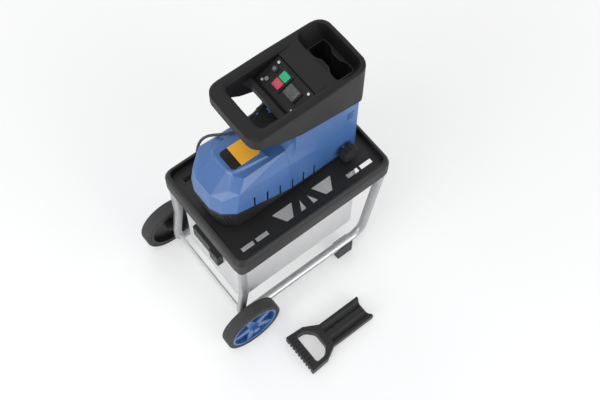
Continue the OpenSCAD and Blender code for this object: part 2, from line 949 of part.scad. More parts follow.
module pressure_plate() {
    color([0.62, 0.63, 0.65])
        difference() {
            along_x(roller_x0 + 2, roller_x1 - 2)
                polygon([
                    [plate_y - plate_t, plate_z0], [plate_y + 1.5, plate_z0], [plate_y - 2, plate_z0 + 20],
                    [plate_y, plate_z0 + 40], [plate_y, plate_z1], [plate_y - plate_t, plate_z1]
                ]);
            rod_y(plate_y - plate_t - 1, plate_y + 3, screw_x, screw_z, screw_r + seat);
            for (x = [roller_x0 + 18, roller_x1 - 10])
                rod_y(plate_y - plate_t - 1, plate_y + 3, x, pin_z, screw_r + seat);
        }
}

module guide_pins() {
    color([0.7, 0.7, 0.72])
        for (x = [roller_x0 + 18, roller_x1 - 10])
            rod_y(-col_y + shell_t, plate_y - 2, x, pin_z, screw_r);
}

// Feed head
function slot_half(grow) = [
    [slot_l / 2 + grow, slot_w / 2 + grow], [-slot_l / 2 - grow, slot_w / 2 + grow],
    [-slot_l / 2 - grow, slot_w / 2 - 30 - grow], [-slot_waist / 2 - grow, slot_w / 2 - 46]
];

// Bone-shaped slot: two wide ends and a narrow waist
function slot_plan(grow) = let (h = slot_half(grow)) [
    h[0], h[1], h[2], h[3],
    [h[3][0], -h[3][1]], [h[2][0], -h[2][1]], [h[1][0], -h[1][1]], [h[0][0], -h[0][1]],
    [-h[2][0], -h[2][1]], [-h[3][0], -h[3][1]], [-h[3][0], h[3][1]], [-h[2][0], h[2][1]]
];

module feed_way(grow) {
    upright(roller_axis[1] + 56, head_top)
        translate([slot_x, 0])
            polygon(soft(slot_plan(grow), 7, 4));
}

// A point on the control panel's face, in X and Z
function panel_at(u, w) = [
    panel_x + u * cos(panel_tilt) - w * sin(panel_tilt),
    panel_z + u * sin(panel_tilt) + w * cos(panel_tilt)
];

module on_panel(u, v, w = 0) {
    translate([panel_x, 0, panel_z])
        rotate([0, -panel_tilt, 0])
            translate([u, v, w])
                children();
}

module head_form() {
    drop = 10;
    intersection() {
        upright(head_top - 200, head_top)
            polygon(soft([
                [head_x0, -head_y], [basin_x0 - 30, -head_y], [head_x1, -head_front_y],
                [head_x1, head_front_y], [basin_x0 - 30, head_y], [head_x0, head_y]
            ], head_corner));
        along_y(-head_y, head_y)
            polygon([
                [head_x0, head_top], [head_x0, head_top - 42], [head_x0 + 32, head_top - 52],
                [head_x0 + 60, head_top - 66], [head_x0 + 90, head_top - 90], [head_x0 + 158, head_top - 120],
                [head_x0 + 260, head_top - 142], [head_x1 - 36, head_top - 157], [head_x1, head_top - 159],
                [head_x1, head_top]
            ]);
        along_x(head_x0, head_x1)
            polygon([
                [-head_y, head_top], [-head_y + drop, head_top - 180], [-col_y - 4, head_top - 200],
                [col_y + 4, head_top - 200], [head_y - drop, head_top - 180], [head_y, head_top]
            ]);
    }
}

// Hollow under the head's top: a wide skirt around the column, and a narrow space for the switch bodies
module head_hollow() {
    low = head_top - 200;
    upright(low, lock_z + lock_l + knob_room)
        translate([lock_x, 0])
            circle(r = lock_d / 2 + knob_room);
    upright(low, ceiling_z - 22)
        polygon(soft([
            [col_x0 + 34, -head_y + 18], [head_x1 - 10, -head_front_y + 14],
            [head_x1 - 10, head_front_y - 14], [col_x0 + 34, head_y - 18]
        ], 40));
    along_y(-col_y - 0.2, col_y + 0.2)
        polygon([
            [loop_x1 - 23, low], [loop_x1 - 23, lip_z - 14], panel_at(-6, -14), panel_at(panel_l, -14),
            [basin_x0 + 6, ceiling_z], [col_x1 + 0.2, ceiling_z], [col_x1 + 0.2, low]
        ]);
}

module feed_head() {
    top = head_top + 1;
    color([0.15, 0.15, 0.16])
        difference() {
            head_form();
            upright(head_top - 300, top)
                polygon(soft([
                    [loop_x0, -rail_in], [loop_x1, -rail_in], [loop_x1, rail_in], [loop_x0, rail_in]
                ], 22));
            along_y(-rail_in, rail_in)
                polygon([
                    [loop_x1 - 23, lip_z], [loop_x1 + 14, lip_z], panel_at(-3, 4), panel_at(-3, -panel_t),
                    panel_at(panel_l + 2, -panel_t), panel_at(panel_l + 4, 5), [basin_x0 - 26, head_top - 6],
                    [basin_x0 - 8, top], [loop_x1 - 23, top]
                ]);
            hull() {
                upright(head_top - 1, top)
                    polygon(soft([
                        [basin_x0, -head_y + 11], [basin_x1, -head_front_y + 10],
                        [basin_x1, head_front_y - 10], [basin_x0, head_y - 11]
                    ], 38));
                upright(slot_z, slot_z + 1)
                    translate([slot_x, 0])
                        polygon(soft(rectangle(slot_l + 8, slot_w + 8), 14));
            }
            head_hollow();
            feed_way(chute_t + seat);
            switch_cutouts();
            for (u = [10, panel_l - 10], v = [-panel_w / 2 + 12, panel_w / 2 - 12])
                on_panel(u, v, -12)
                    cylinder(h = 14, r = 2);
        }
}

// Ways for the switch bodies through the floor under the panel
module switch_cutouts() {
    on_panel(switch_u - switch_l / 2 + 3, switch_v - switch_w / 2 + 2, -30)
        cube([switch_l - 6, switch_w - 4, 30]);
    on_panel(selector_u - selector_l / 2 + 2, selector_v - selector_w / 2 + 2, -30)
        cube([selector_l - 4, selector_w - 4, 30]);
    on_panel(reset_u, reset_v, -30)
        cylinder(h = 30, r = 8);
    on_panel(lens_u, lens_v, -30)
        cylinder(h = 30, r = 5);
}

module feed_chute() {
    color([0.08, 0.08, 0.09])
        difference() {
            intersection() {
                feed_way(chute_t);
                block([0, head_x1], [-head_y, head_y], [roller_axis[1] + 56, slot_z]);
            }
            feed_way(0);
        }
}

// Control panel and switches
module panel_hole(u, v, l, w) {
    on_panel(u - l / 2, v - w / 2, -panel_t - 1)
        cube([l, w, panel_t + 2]);
}

switch_u = 45;
switch_v = 17;
switch_l = 58;
switch_w = 36;
button_l = 23;
button_w = 27;
selector_u = 43;
selector_v = -30;
selector_l = 36;
selector_w = 44;
rocker_l = 24;
rocker_w = 34;
reset_u = 53;
reset_v = 56;
lens_u = 20;
lens_v = 54;

module control_panel() {
    color([0.07, 0.07, 0.08])
        difference() {
            on_panel(0, -panel_w / 2, -panel_t)
                cube([panel_l, panel_w, panel_t]);
            panel_hole(switch_u, switch_v, switch_l - 8, switch_w - 6);
            panel_hole(selector_u, selector_v, selector_l - 6, selector_w - 6);
            on_panel(reset_u, reset_v, -panel_t - 1)
                cylinder(h = panel_t + 2, r = 7 + seat);
            on_panel(lens_u, lens_v, -panel_t - 1)
                cylinder(h = panel_t + 2, r = 4 + seat);
            for (u = [10, panel_l - 10], v = [-panel_w / 2 + 12, panel_w / 2 - 12])
                on_panel(u, v, -panel_t - 1)
                    cylinder(h = panel_t + 2, r = 2);
        }
}

module panel_screws() {
    color([0.8, 0.8, 0.81])
        for (u = [10, panel_l - 10], v = [-panel_w / 2 + 12, panel_w / 2 - 12])
            on_panel(u, v) {
                difference() {
                    cylinder(h = 2, r = 4);
                    translate([-3, -0.5, 1.2])
                        cube([6, 1, 1]);
                    translate([-0.5, -3, 1.2])
                        cube([1, 6, 1]);
                }
                translate([0, 0, -12])
                    cylinder(h = 12.5, r = 2 - seat);
            }
}

// Body with a well for each button; its flange lies on the panel
module switch_base() {
    color([0.06, 0.06, 0.07])
        difference() {
            union() {
                on_panel(switch_u - switch_l / 2, switch_v - switch_w / 2, 0)
                    cube([switch_l, switch_w, 5]);
                on_panel(switch_u - switch_l / 2 + 4 + seat, switch_v - switch_w / 2 + 3 + seat, -24)
                    cube([switch_l - 8 - 2 * seat, switch_w - 6 - 2 * seat, 25]);
            }
            for (s = [-1, 1])
                on_panel(switch_u + s * 12.5 - button_l / 2 - gap, switch_v - button_w / 2 - gap, -10)
                    cube([button_l + 2 * gap, button_w + 2 * gap, 20]);
        }
}

module button_cap(s, rise) {
    on_panel(switch_u + s * 12.5, switch_v, -6)
        linear_extrude(rise + 6)
            polygon(soft(rectangle(button_l, button_w), 3, 3));
}

module start_button() {
    color([0.08, 0.66, 0.42])
        button_cap(1, 8);
}

module stop_button() {
    color([0.85, 0.24, 0.34])
        button_cap(-1, 11);
}

module selector_bezel() {
    color([0.5, 0.51, 0.52])
        difference() {
            union() {
                on_panel(selector_u - selector_l / 2, selector_v - selector_w / 2, 0)
                    cube([selector_l, selector_w, 6]);
                on_panel(selector_u - selector_l / 2 + 3 + seat, selector_v - selector_w / 2 + 3 + seat, -20)
                    cube([selector_l - 6 - 2 * seat, selector_w - 6 - 2 * seat, 21]);
            }
            on_panel(selector_u - rocker_l / 2 - gap, selector_v - rocker_w / 2 - 1.2, -14)
                cube([rocker_l + 2 * gap, rocker_w + 2.4, 30]);
            on_panel(selector_u - rocker_l / 2 - 2, selector_v, 1)
                rotate([0, 90, 0])
                    cylinder(h = rocker_l + 4, r = 2 + seat);
        }
}

// Rocker on two stub pins: its top is dished like a shallow V
module direction_rocker() {
    color([0.2, 0.2, 0.21]) {
        on_panel(selector_u - rocker_l / 2, selector_v, 1)
            rotate([90, 0, 90])
                linear_extrude(rocker_l)
                    polygon([
                        [-rocker_w / 2, 2], [-rocker_w / 2 + 1, 8], [0, 4.5], [rocker_w / 2 - 1, 8],
                        [rocker_w / 2, 2], [8, -8], [-8, -8]
                    ]);
        on_panel(selector_u - rocker_l / 2 - 1.5, selector_v, 1)
            rotate([0, 90, 0])
                cylinder(h = rocker_l + 3, r = 2);
    }
}

module reset_collar() {
    color([0.55, 0.56, 0.57])
        on_panel(reset_u, reset_v)
            difference() {
                union() {
                    cylinder(h = 5, r = 10);
                    translate([0, 0, -16])
                        cylinder(h = 17, r = 7);
                }
                translate([0, 0, -8])
                    cylinder(h = 20, r = 5 + seat);
            }
}

module reset_button() {
    color([0.12, 0.12, 0.13])
        on_panel(reset_u, reset_v, -4)
            cylinder(h = 12, r = 5);
}

module indicator_lens() {
    color([0.75, 0.76, 0.78])
        on_panel(lens_u, lens_v) {
            cylinder(h = 2.5, r = 6);
            translate([0, 0, -9])
                cylinder(h = 10, r = 4);
        }
}

// Cord: gland in the column's front, swept cord, and plug
module along_cord(p, d) {
    translate(p)
        rotate([0, acos(d[2]), atan2(d[1], d[0])])
            children();
}

module cord_gland() {
    axis = [cord_route[0][1], cord_route[0][2]];
    color([0.1, 0.1, 0.11])
        difference() {
            union() {
                translate([cord_route[0][0] - 2, axis[0], axis[1]])
                    rotate([0, 90, 0])
                        cylinder(h = col_x0 - cord_route[0][0] + 2, r1 = 6.5, r2 = 9);
                rod_x(col_x0 - 1, col_x0 + shell_t + 6, axis, 7);
            }
            along_cord(cord_route[0], ring_frame(0, cord_last))
                cylinder(h = 22, r = cord_d / 2 + seat);
        }
}

function ring_frame(i, last) =
    i == 0 ? unit(cord_route[1] - cord_route[0]) :
    i == last ? unit(cord_route[last] - cord_route[last - 1]) :
    unit(cord_route[i + 1] - cord_route[i - 1]);

module mains_cord() {
    last = cord_last;
    rings = [
        for (i = [0 : last])
            let (
                t = ring_frame(i, last),
                side = unit(cross([0.2, 1, 0.1], t)),
                rise = cross(t, side)
            )
            for (k = [0 : cord_sides - 1])
                cord_route[i]
                    + cord_d / 2 * (cos(360 * k / cord_sides) * side + sin(360 * k / cord_sides) * rise)
    ];
    walls = [
        for (i = [0 : last - 1], k = [0 : cord_sides - 1])
            let (a = i * cord_sides + k, b = i * cord_sides + (k + 1) % cord_sides)
            each [[a, a + cord_sides, b], [b, a + cord_sides, b + cord_sides]]
    ];
    start = [for (k = [1 : cord_sides - 2]) [0, k, k + 1]];
    base = last * cord_sides;
    finish = [for (k = [1 : cord_sides - 2]) [base, base + k + 1, base + k]];
    color([0.08, 0.08, 0.09])
        polyhedron(rings, concat(walls, start, finish));
}

// Plug lying on the tray's far ledge
module mains_plug() {
    color([0.08, 0.08, 0.09])
        translate(cord_route[cord_last])
            rotate([0, 90, 0]) {
                translate([0, 0, 0.5])
                    cylinder(h = 14.5, r1 = 6, r2 = 13);
                translate([0, 0, 14])
                    cylinder(h = 34, r = plug_r - 0.1);
                for (s = [-1, 1])
                    translate([0, s * 7, 47])
                        cylinder(h = 19, r = 2.4);
            }
}

// Motor
module motor_can() {
    wall = 4;
    color([0.7, 0.71, 0.72])
        difference() {
            rod_x(motor_x0, motor_x1, motor_axis, motor_d / 2);
            rod_x(motor_x0 + 14, motor_x1 - 14, motor_axis, motor_d / 2 - wall);
            rod_x(motor_x0 - 1, motor_x1 + 1, motor_axis, 12);
            rod_x(motor_x0 - 1, motor_x0 + bearing_t, motor_axis, bearing_r + seat);
            rod_x(motor_x1 - bearing_t, motor_x1 + 1, motor_axis, bearing_r + seat);
        }
}

module motor_stator() {
    color([0.55, 0.36, 0.2])
        ring_x(motor_x0 + 22, motor_x1 - 22, motor_axis, motor_d / 2 - 24, motor_d / 2 - 4 - seat);
}

module motor_rotor() {
    color([0.62, 0.63, 0.65]) {
        rod_x(motor_x0 - 30, stage_1 - 1, motor_axis, shaft_r);
        rod_x(stage_1 - 2, stage_1 + face_1, motor_axis, stub_r);
        rod_x(motor_x0 + 24, motor_x1 - 24, motor_axis, motor_d / 2 - 26);
    }
}

module motor_fan() {
    fan_r = motor_d / 2 - 8;
    fan_x = motor_x0 - 26;
    color([0.15, 0.15, 0.16])
        difference() {
            union() {
                rod_x(fan_x, fan_x + 22, motor_axis, shaft_r + 6);
                rod_x(fan_x + 19, fan_x + 22, motor_axis, fan_r);
                for (i = [0 : 6])
                    translate([fan_x + 2, motor_axis[0], motor_axis[1]])
                        rotate([360 * i / 7, 0, 0])
                            translate([0, shaft_r + 4, -1.5])
                                cube([18, fan_r - shaft_r - 5, 3]);
            }
            rod_x(fan_x - 1, fan_x + 23, motor_axis, shaft_r + seat);
        }
}

module motor_bearings() {
    color([0.75, 0.75, 0.77]) {
        ring_x(motor_x0, motor_x0 + bearing_t - seat, motor_axis, shaft_r + seat, bearing_r);
        ring_x(motor_x1 - bearing_t + seat, motor_x1, motor_axis, shaft_r + seat, bearing_r);
    }
}

// Gears: the small gear's tooth meets the large gear's gap on the line between the axes
module motor_pinion() {
    color([0.62, 0.63, 0.65])
        gear_on(stage_1, motor_axis, motor_angle + 180)
            gear(teeth_small, m1, face_1, stub_r + seat);
}

module gearbox_case() {
    margin = 3;
    half = m2 * teeth_2 / 2 + m2 + margin;
    z0 = roller_axis[1] - half;
    z1 = lay_axis[1] + m1 * teeth_1 / 2 + m1 + margin;
    color([0.66, 0.67, 0.68])
        difference() {
            union() {
                block([case_x0, case_x1], [-half - case_t, half + case_t], [z0 - case_t, z1 + case_t]);
                for (y = [-half, half - 14])
                    block([case_x0 + 6, case_x1 - 6], [y, y + 14], [deck_z + shell_t, z0 - 1]);
            }
            block([case_x0 + case_t, case_x1 - case_t], [-half, half], [z0, z1]);
            rod_x(case_x0 - 1, case_x0 + case_t + 1, motor_axis, shaft_r + 1);
            rod_x(case_x0 - 1, case_x1 + 1, lay_axis, lay_r + seat);
            rod_x(case_x1 - case_t - 1, case_x1 + 1, roller_axis, roller_shaft_r + seat);
        }
}

module layshaft() {
    color([0.62, 0.63, 0.65]) {
        rod_x(case_x0 + 1, case_x1 - 1, lay_axis, lay_r);
        gear_on(stage_2, lay_axis, lay_angle + 180)
            gear(teeth_small, m2, face_2, 3);
    }
}

module intermediate_gear() {
    color([0.58, 0.59, 0.6])
        gear_on(stage_1, lay_axis, motor_angle + 180 / teeth_1)
            gear(teeth_1, m1, face_1 - 2, lay_r + seat);
}

module final_gear() {
    color([0.58, 0.59, 0.6])
        gear_on(stage_2 + 1, roller_axis, lay_angle + 180 / teeth_2)
            gear(teeth_2, m2, face_2 - 2, roller_shaft_r + seat);
}

// Cutter roller: shaft and a row of hooked teeth
module cutter_roller() {
    teeth = 8;
    core = roller_d / 2 - 12;
    color([0.5, 0.51, 0.53]) {
        rod_x(stage_2 - 2, roller_x1 + 14, roller_axis, roller_shaft_r);
        gear_on(roller_x0, roller_axis, 0)
            linear_extrude(roller_l)
                difference() {
                    polygon([
                        for (i = [0 : teeth - 1])
                            for (c = [[core, 0], [core, 0.45], [roller_d / 2, 0.78], [roller_d / 2, 0.98]])
                                c[0] * [cos((i + c[1]) * 360 / teeth), sin((i + c[1]) * 360 / teeth)]
                    ]);
                    circle(r = roller_shaft_r - 1);
                }
    }
}

// Bearing plates that carry the roller's shaft in the column
module roller_bearings() {
    plate = 8;
    bearing_y = min(base_y, col_y) - shell_t - gap;
    color([0.66, 0.67, 0.68])
        for (x = [roller_x0 - 4 - plate, roller_x1 + 4])
            difference() {
                block(
                    [x, x + plate],
                    [-bearing_y, bearing_y],
                    [deck_z + shell_t, roller_axis[1] + 30]
                );
                rod_x(x - 1, x + plate + 1, roller_axis, roller_shaft_r + seat);
            }
}

// Chute that drops the chips through the deck into the box
chip_x = [roller_x0 + 2, roller_x1 - 2];
chip_y = [-48, 60];

module chip_chute() {
    t = 2;
    z0 = box_top + 3;
    z1 = deck_z + 22;
    color([0.1, 0.1, 0.11])
        difference() {
            union() {
                block([chip_x[0] + seat, chip_x[1] - seat], [chip_y[0] + seat, chip_y[1] - seat], [z0, z1]);
                block(
                    [chip_x[0] - 5, chip_x[1] + 5],
                    [chip_y[0] - 5, chip_y[1] + 5],
                    [deck_z + shell_t, deck_z + shell_t + 3]
                );
            }
            block(
                [chip_x[0] + t, chip_x[1] - t],
                [chip_y[0] + t, chip_y[1] - t],
                [z0 - 1, z1 + 1]
            );
        }
}

// Plunger: ribbed D-handle and a grooved blade with a hollow end
module plunger() {
    x1 = plunger_x + grip_loop_l;
    x2 = x1 + blade_l;
    elbow = x1 - 40;
    color([0.12, 0.12, 0.13])
        difference() {
            union() {
                upright(0, loop_t)
                    polygon([
                        [plunger_x, plunger_y - grip_loop_w / 2], [elbow, plunger_y - grip_loop_w / 2 + 4],
                        [x1 + 4, plunger_y - blade_w / 2], [x1 + 4, plunger_y + blade_w / 2],
                        [elbow, plunger_y + grip_loop_w / 2 - 4], [plunger_x, plunger_y + grip_loop_w / 2]
                    ]);
                block([x1, x2], [plunger_y - blade_w / 2, plunger_y + blade_w / 2], [3, 3 + blade_t]);
            }
            upright(-1, loop_t + 1)
                polygon(soft([
                    [plunger_x + 28, plunger_y - grip_loop_w / 2 + 16],
                    [elbow - 2, plunger_y - grip_loop_w / 2 + 18],
                    [x1 - 18, plunger_y - 26], [x1 - 18, plunger_y + 26],
                    [elbow - 2, plunger_y + grip_loop_w / 2 - 18],
                    [plunger_x + 28, plunger_y + grip_loop_w / 2 - 16]
                ], 10));
            for (i = [-4 : 4])
                let (y = [plunger_y + 13 * i - 2.5, plunger_y + 13 * i + 2.5]) {
                    block([plunger_x - 1, plunger_x + 4], y, [-1, loop_t + 1]);
                    block([plunger_x - 1, plunger_x + 21], y, [loop_t - 3, loop_t + 1]);
                }
            for (s = [-1, 1], z = [3, 3 + blade_t])
                rod_x(x1 + 8, x2 + 1, [plunger_y + s * blade_w * 0.24, z + (z > 3 ? 4 : -4)], 12);
            translate([x2 + blade_w * 0.62, plunger_y, -1])
                cylinder(h = loop_t + 4, r = blade_w * 0.75, $fn = 96);
        }
}

base_tray();
near_side_frame();
far_side_frame();
near_rail_foot();
far_rail_foot();
axle();
axle_spacers();
axle_caps();
near_tyre();
far_tyre();
near_wheel_hub();
far_wheel_hub();
near_box_runner();
far_box_runner();
collection_box();
box_grip();
base_housing();
motor_cover();
column_housing();
rear_panel();
cover_screws();
label_plate();
rating_plate();
lock_knob();
lock_stud();
adjusting_knob();
adjusting_screw();
pressure_plate();
guide_pins();
feed_head();
feed_chute();
control_panel();
panel_screws();
switch_base();
start_button();
stop_button();
selector_bezel();
direction_rocker();
reset_collar();
reset_button();
indicator_lens();
cord_gland();
mains_cord();
mains_plug();
motor_can();
motor_stator();
motor_rotor();
motor_fan();
motor_bearings();
motor_pinion();
gearbox_case();
layshaft();
intermediate_gear();
final_gear();
cutter_roller();
roller_bearings();
chip_chute();
plunger();
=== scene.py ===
"""Looks of a garden shredder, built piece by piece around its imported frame.

Metres, +Z up. The wheel end is -X, the foot end is +X, and the floor is z = 0.
"""

import json
import math

import bmesh
import bpy
from mathutils import Matrix, Vector
from mathutils.bvhtree import BVHTree

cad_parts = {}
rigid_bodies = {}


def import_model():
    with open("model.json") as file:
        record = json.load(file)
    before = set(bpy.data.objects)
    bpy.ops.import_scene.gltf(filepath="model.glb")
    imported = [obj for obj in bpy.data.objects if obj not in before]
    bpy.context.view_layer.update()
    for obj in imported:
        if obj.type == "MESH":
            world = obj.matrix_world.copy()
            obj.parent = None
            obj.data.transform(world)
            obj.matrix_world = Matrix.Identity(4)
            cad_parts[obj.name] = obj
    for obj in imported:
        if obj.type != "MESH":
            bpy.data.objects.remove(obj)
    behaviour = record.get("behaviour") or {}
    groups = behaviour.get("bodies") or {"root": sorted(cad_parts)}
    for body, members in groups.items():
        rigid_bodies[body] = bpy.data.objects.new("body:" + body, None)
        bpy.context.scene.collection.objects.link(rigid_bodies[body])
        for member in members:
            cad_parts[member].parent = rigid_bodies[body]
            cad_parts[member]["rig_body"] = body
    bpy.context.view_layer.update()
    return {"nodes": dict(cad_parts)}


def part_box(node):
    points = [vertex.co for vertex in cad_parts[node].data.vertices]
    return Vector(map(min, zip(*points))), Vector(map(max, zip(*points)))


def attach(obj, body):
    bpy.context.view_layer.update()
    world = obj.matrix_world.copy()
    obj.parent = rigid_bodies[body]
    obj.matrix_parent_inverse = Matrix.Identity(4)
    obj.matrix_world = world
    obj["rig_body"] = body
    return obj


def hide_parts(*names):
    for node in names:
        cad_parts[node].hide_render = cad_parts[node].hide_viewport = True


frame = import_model()

bl_info = {
    "name": "Garden shredder looks",
    "version": (1, 0, 0),
    "blender": (4, 5, 0),
    "location": "3D View > Sidebar > Shredder",
    "description": "Dresses the frame of a garden shredder with rounded pieces and finishes",
    "category": "Object",
}

# Camera at the photograph's angle: sensor and lens in millimetres
CAMERA_PLACE = (-0.889, -1.201, 3.263)
CAMERA_AZIMUTH = math.radians(-37.88)
CAMERA_ELEVATION = math.radians(63.52)
CAMERA_SENSOR, CAMERA_LENS = 36, 65.17
CAMERA_SHIFT = (0.0173, -0.0006)

# Lamps: name, place, diameter and watts. All of them point at one place in the machine
LAMPS = [
    ("key", (-0.9, -0.2, 3.4), 1.6, 22.0),
    ("near_fill", (0.5, -3.2, 1.1), 2.2, 46.0),
    ("wheel_end_fill", (-3.2, -0.5, 1.0), 2.2, 48.0),
    ("back", (0.6, 2.2, 2.6), 1.8, 14.0),
]
LAMP_AIM = Vector((0, 0, 0.5))

# Light of the room, and the floor: its glow grows from a least share at one distance from the
# middle to all of it at another
ROOM_COLOUR = (0.97, 0.985, 1.0, 1)
ROOM_STRENGTH = 0.50
FLOOR_REACH = 12
FLOOR_Z = -0.0006
FLOOR_GLOW = 1.06
GLOW_FROM, GLOW_TO = 0.7, 2.6
GLOW_LEAST = 0.32

# Feed head: the height from which edges are upper ones, the middles in X of the loop and the
# basin, the X between the two, and the rounding of the other edges
HEAD_UPPER_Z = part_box("feed_head")[1].z - 0.0005
LOOP_X, LOOP_END_X, BASIN_X = 0.006, 0.121, 0.178
HEAD_LOW_ROUND = 0.0018

# Base tray: the deck's height, the heights above and below which edges belong to the rim and to
# the foot, the |X| and |Y| beyond which a rim edge is an outer one, roundings, and the |Y| of two
# cuts through its windows
TRAY_LOW, TRAY_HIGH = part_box("base_tray")
DECK_DEPTH = 0.026
DECK_Z = TRAY_HIGH.z - DECK_DEPTH
TRAY_RIM_Z = DECK_Z + 0.004
TRAY_FOOT_Z = TRAY_LOW.z + 0.012
TRAY_OUTER_X, TRAY_OUTER_Y = 0.2642, 0.1767
RIM_INNER_ROUND, TRAY_FOOT_ROUND = 0.0024, 0.0009
TRAY_CUT_Y = 0.140

# Lips around the pairs of slots in the deck: X from and to, at |Y| from and to, and their section
DECK_LIPS = [(-0.244, -0.133), (0.139, 0.249)]
DECK_LIP_Y = (0.1265, 0.1545)
LIP_BAR, LIP_RISE, LIP_SUNK, LIP_ROUND = 0.0028, 0.0012, 0.0002, 0.0006

# Route of the mains cord, from the gland to the plug
CORD_ROUTE = [
    (-0.019, 0.058, 0.740), (-0.035, 0.057, 0.736), (-0.053, 0.055, 0.731),
    (-0.072, 0.052, 0.727), (-0.091, 0.050, 0.725), (-0.109, 0.052, 0.724),
    (-0.125, 0.059, 0.723), (-0.139, 0.069, 0.720), (-0.151, 0.081, 0.714),
    (-0.161, 0.094, 0.702), (-0.169, 0.105, 0.685), (-0.175, 0.114, 0.664),
    (-0.179, 0.121, 0.640), (-0.181, 0.127, 0.614), (-0.181, 0.133, 0.588),
    (-0.178, 0.139, 0.562), (-0.173, 0.144, 0.537), (-0.164, 0.149, 0.514),
    (-0.151, 0.153, 0.495), (-0.133, 0.156, 0.482), (-0.111, 0.157, 0.475),
    (-0.085, 0.157, 0.473), (-0.057, 0.157, 0.473),
]
CORD_RESOLUTION = 5

# Centre line of a side frame in X and Z, the radius of the bend at each point, and the degrees
# that a step of a bend turns
FRAME_PATH = [
    (-0.259, 0.447), (-0.259, 0.235), (-0.275, 0.127), (-0.275, 0.066),
    (0.203, 0.066), (0.259, 0.398), (0.259, 0.447),
]
FRAME_BENDS = [0, 0.060, 0.060, 0.020, 0.050, 0.060, 0]
FRAME_Y = 0.170
TUBE_SIDES = 28
BEND_STEP, LEAST_BEND_STEPS = 4, 4

# Wheels: the tyre's thickness, and a dark lining of the inner side as radius and distance from
# the inner face
TYRE_THICKNESS = 0.0139
WHEEL_LINING = [
    (0.0096, -0.00005), (0.01705, -0.00005), (0.01705, 0.0193), (0.07495, 0.0193),
    (0.07495, 0.00195), (0.0827, 0.00195), (0.0827, 0.0012), (0.0742, 0.0012),
    (0.0742, 0.0185), (0.0178, 0.0185), (0.0178, -0.0003), (0.0096, -0.0003),
]
TYRE_STEPS, LINING_STEPS = 112, 96
WHEEL_CREASE = 32

# Ribs on the nose: steps across it with their pitch at the low and the high end, heights,
# section with its rounding as a share of the width, and the X where rays to the nose start
RIB_STEPS = range(-84, 85, 7)
RIB_LOW_PITCH, RIB_HIGH_PITCH = 0.0009, 0.001
RIB_LOW_Z, RIB_HIGH_Z = 0.488, 0.572
RIB_WIDTH, RIB_RISE, RIB_SUNK, RIB_ROUND = 0.0026, 0.0016, 0.0020, 0.3
RAY_X = -0.5

# Slats on the column: X and Y from and to, lower edges and height
SLAT_X, SLAT_Y = (0.188, 0.212), (-0.0783, -0.0766)
SLAT_Z = [z / 1000 for z in range(648, 680, 7)]
SLAT_HEIGHT, SLAT_ROUND = 0.0042, 0.0006

# Blue housing: creases below this angle in degrees are its long soft ones, and the column is cut
# where its openings lie
COVER_CREASE = 60
COLUMN_CUTS = [(0, 0.185), (1, 0.058)]

# Control panel's own frame: u up the slope, v along Y, w off the panel
PANEL_TILT = math.radians(26)
PANEL = Matrix.Translation((-0.006, 0, 0.863)) @ Matrix.Rotation(-PANEL_TILT, 4, "Y")
PANEL_CUTS = [(1, v) for v in (-0.062, -0.030, 0.017, 0.055, 0.062)]

# Marks and boots in the panel's frame: blocks by two corners, profiles as radius and height,
# and the selector's marks as v and half their length
START_BAR = ((0.0528, 0.0160, 0.0079), (0.0622, 0.0180, 0.0082))
STOP_PLACE = (0.0325, 0.017, 0)
STOP_RING = [(0.0032, 0.0109), (0.0049, 0.0109), (0.0049, 0.0112), (0.0032, 0.0112)]
RESET_PLACE = (0.053, 0.056, 0)
RESET_DOME = [
    (0, 0.0115), (0.0026, 0.0112), (0.0050, 0.0102), (0.0066, 0.0086), (0.0072, 0.0065),
    (0.0072, 0.0050), (0.0065, 0.0050), (0.0065, 0.0064), (0.0060, 0.0083), (0.0046, 0.0097),
    (0.0024, 0.0106), (0, 0.0109),
]
SELECTOR_BOOT = ((0.0265, -0.0505, 0.0040), (0.0595, -0.0095, 0.0138))
BOOT_FOOT, BOOT_ROUND, BOOT_WALL = 0.0068, 0.0028, 0.0008
ROCKER_MARKS = [(-0.0150, 0.006), (-0.0175, 0.004), (-0.0450, 0.006), (-0.0425, 0.004)]
ROCKER_MARK_U, ROCKER_MARK_HALF = 0.043, 0.0007
ROCKER_MARK_W = (0.0088, 0.0093)
MARK_ROUND, MARK_STEPS = 0.0001, 40

# Distances within which points are one: of the frame, of new shapes, on a cut, on an axis
FRAME_DOUBLES, OWN_DOUBLES, CUT_DOUBLES, AXIS_DOUBLES = 3e-6, 1e-6, 1e-5, 1e-7

# Rounding: edges that turn less than RUN_TURN go on as one run, and corners that turn more than
# STRAIGHT_TURN are straight. Faces that bend less than SLIVER_BEND are joined where their edge
# runs into a rounded one at a slant. Creases up to FACET_BEND degrees are rounded only between
# faces of some width. Edges shorter than TINY_EDGE are closed, and roundings wider than
# HELD_WIDTH are never cut down
RUN_TURN = math.radians(50)
STRAIGHT_TURN = math.radians(172)
SLIVER_BEND = math.radians(7)
SLIVER_SINE = 0.35
FACET_BEND = 16
TINY_EDGE = 0.0002
HELD_WIDTH = 0.0025

# Fitting of roundings: rounds, share of an edge they may take, strongest cut of a round, and the
# least sine of a corner. NO_TURN stands in for the turn of an edge without length
FIT_ROUNDS = 30
ROOM_SHARE = 0.9
STRONGEST_CUT = 0.6
LEAST_SINE = 0.02
NO_TURN = math.pi / 2


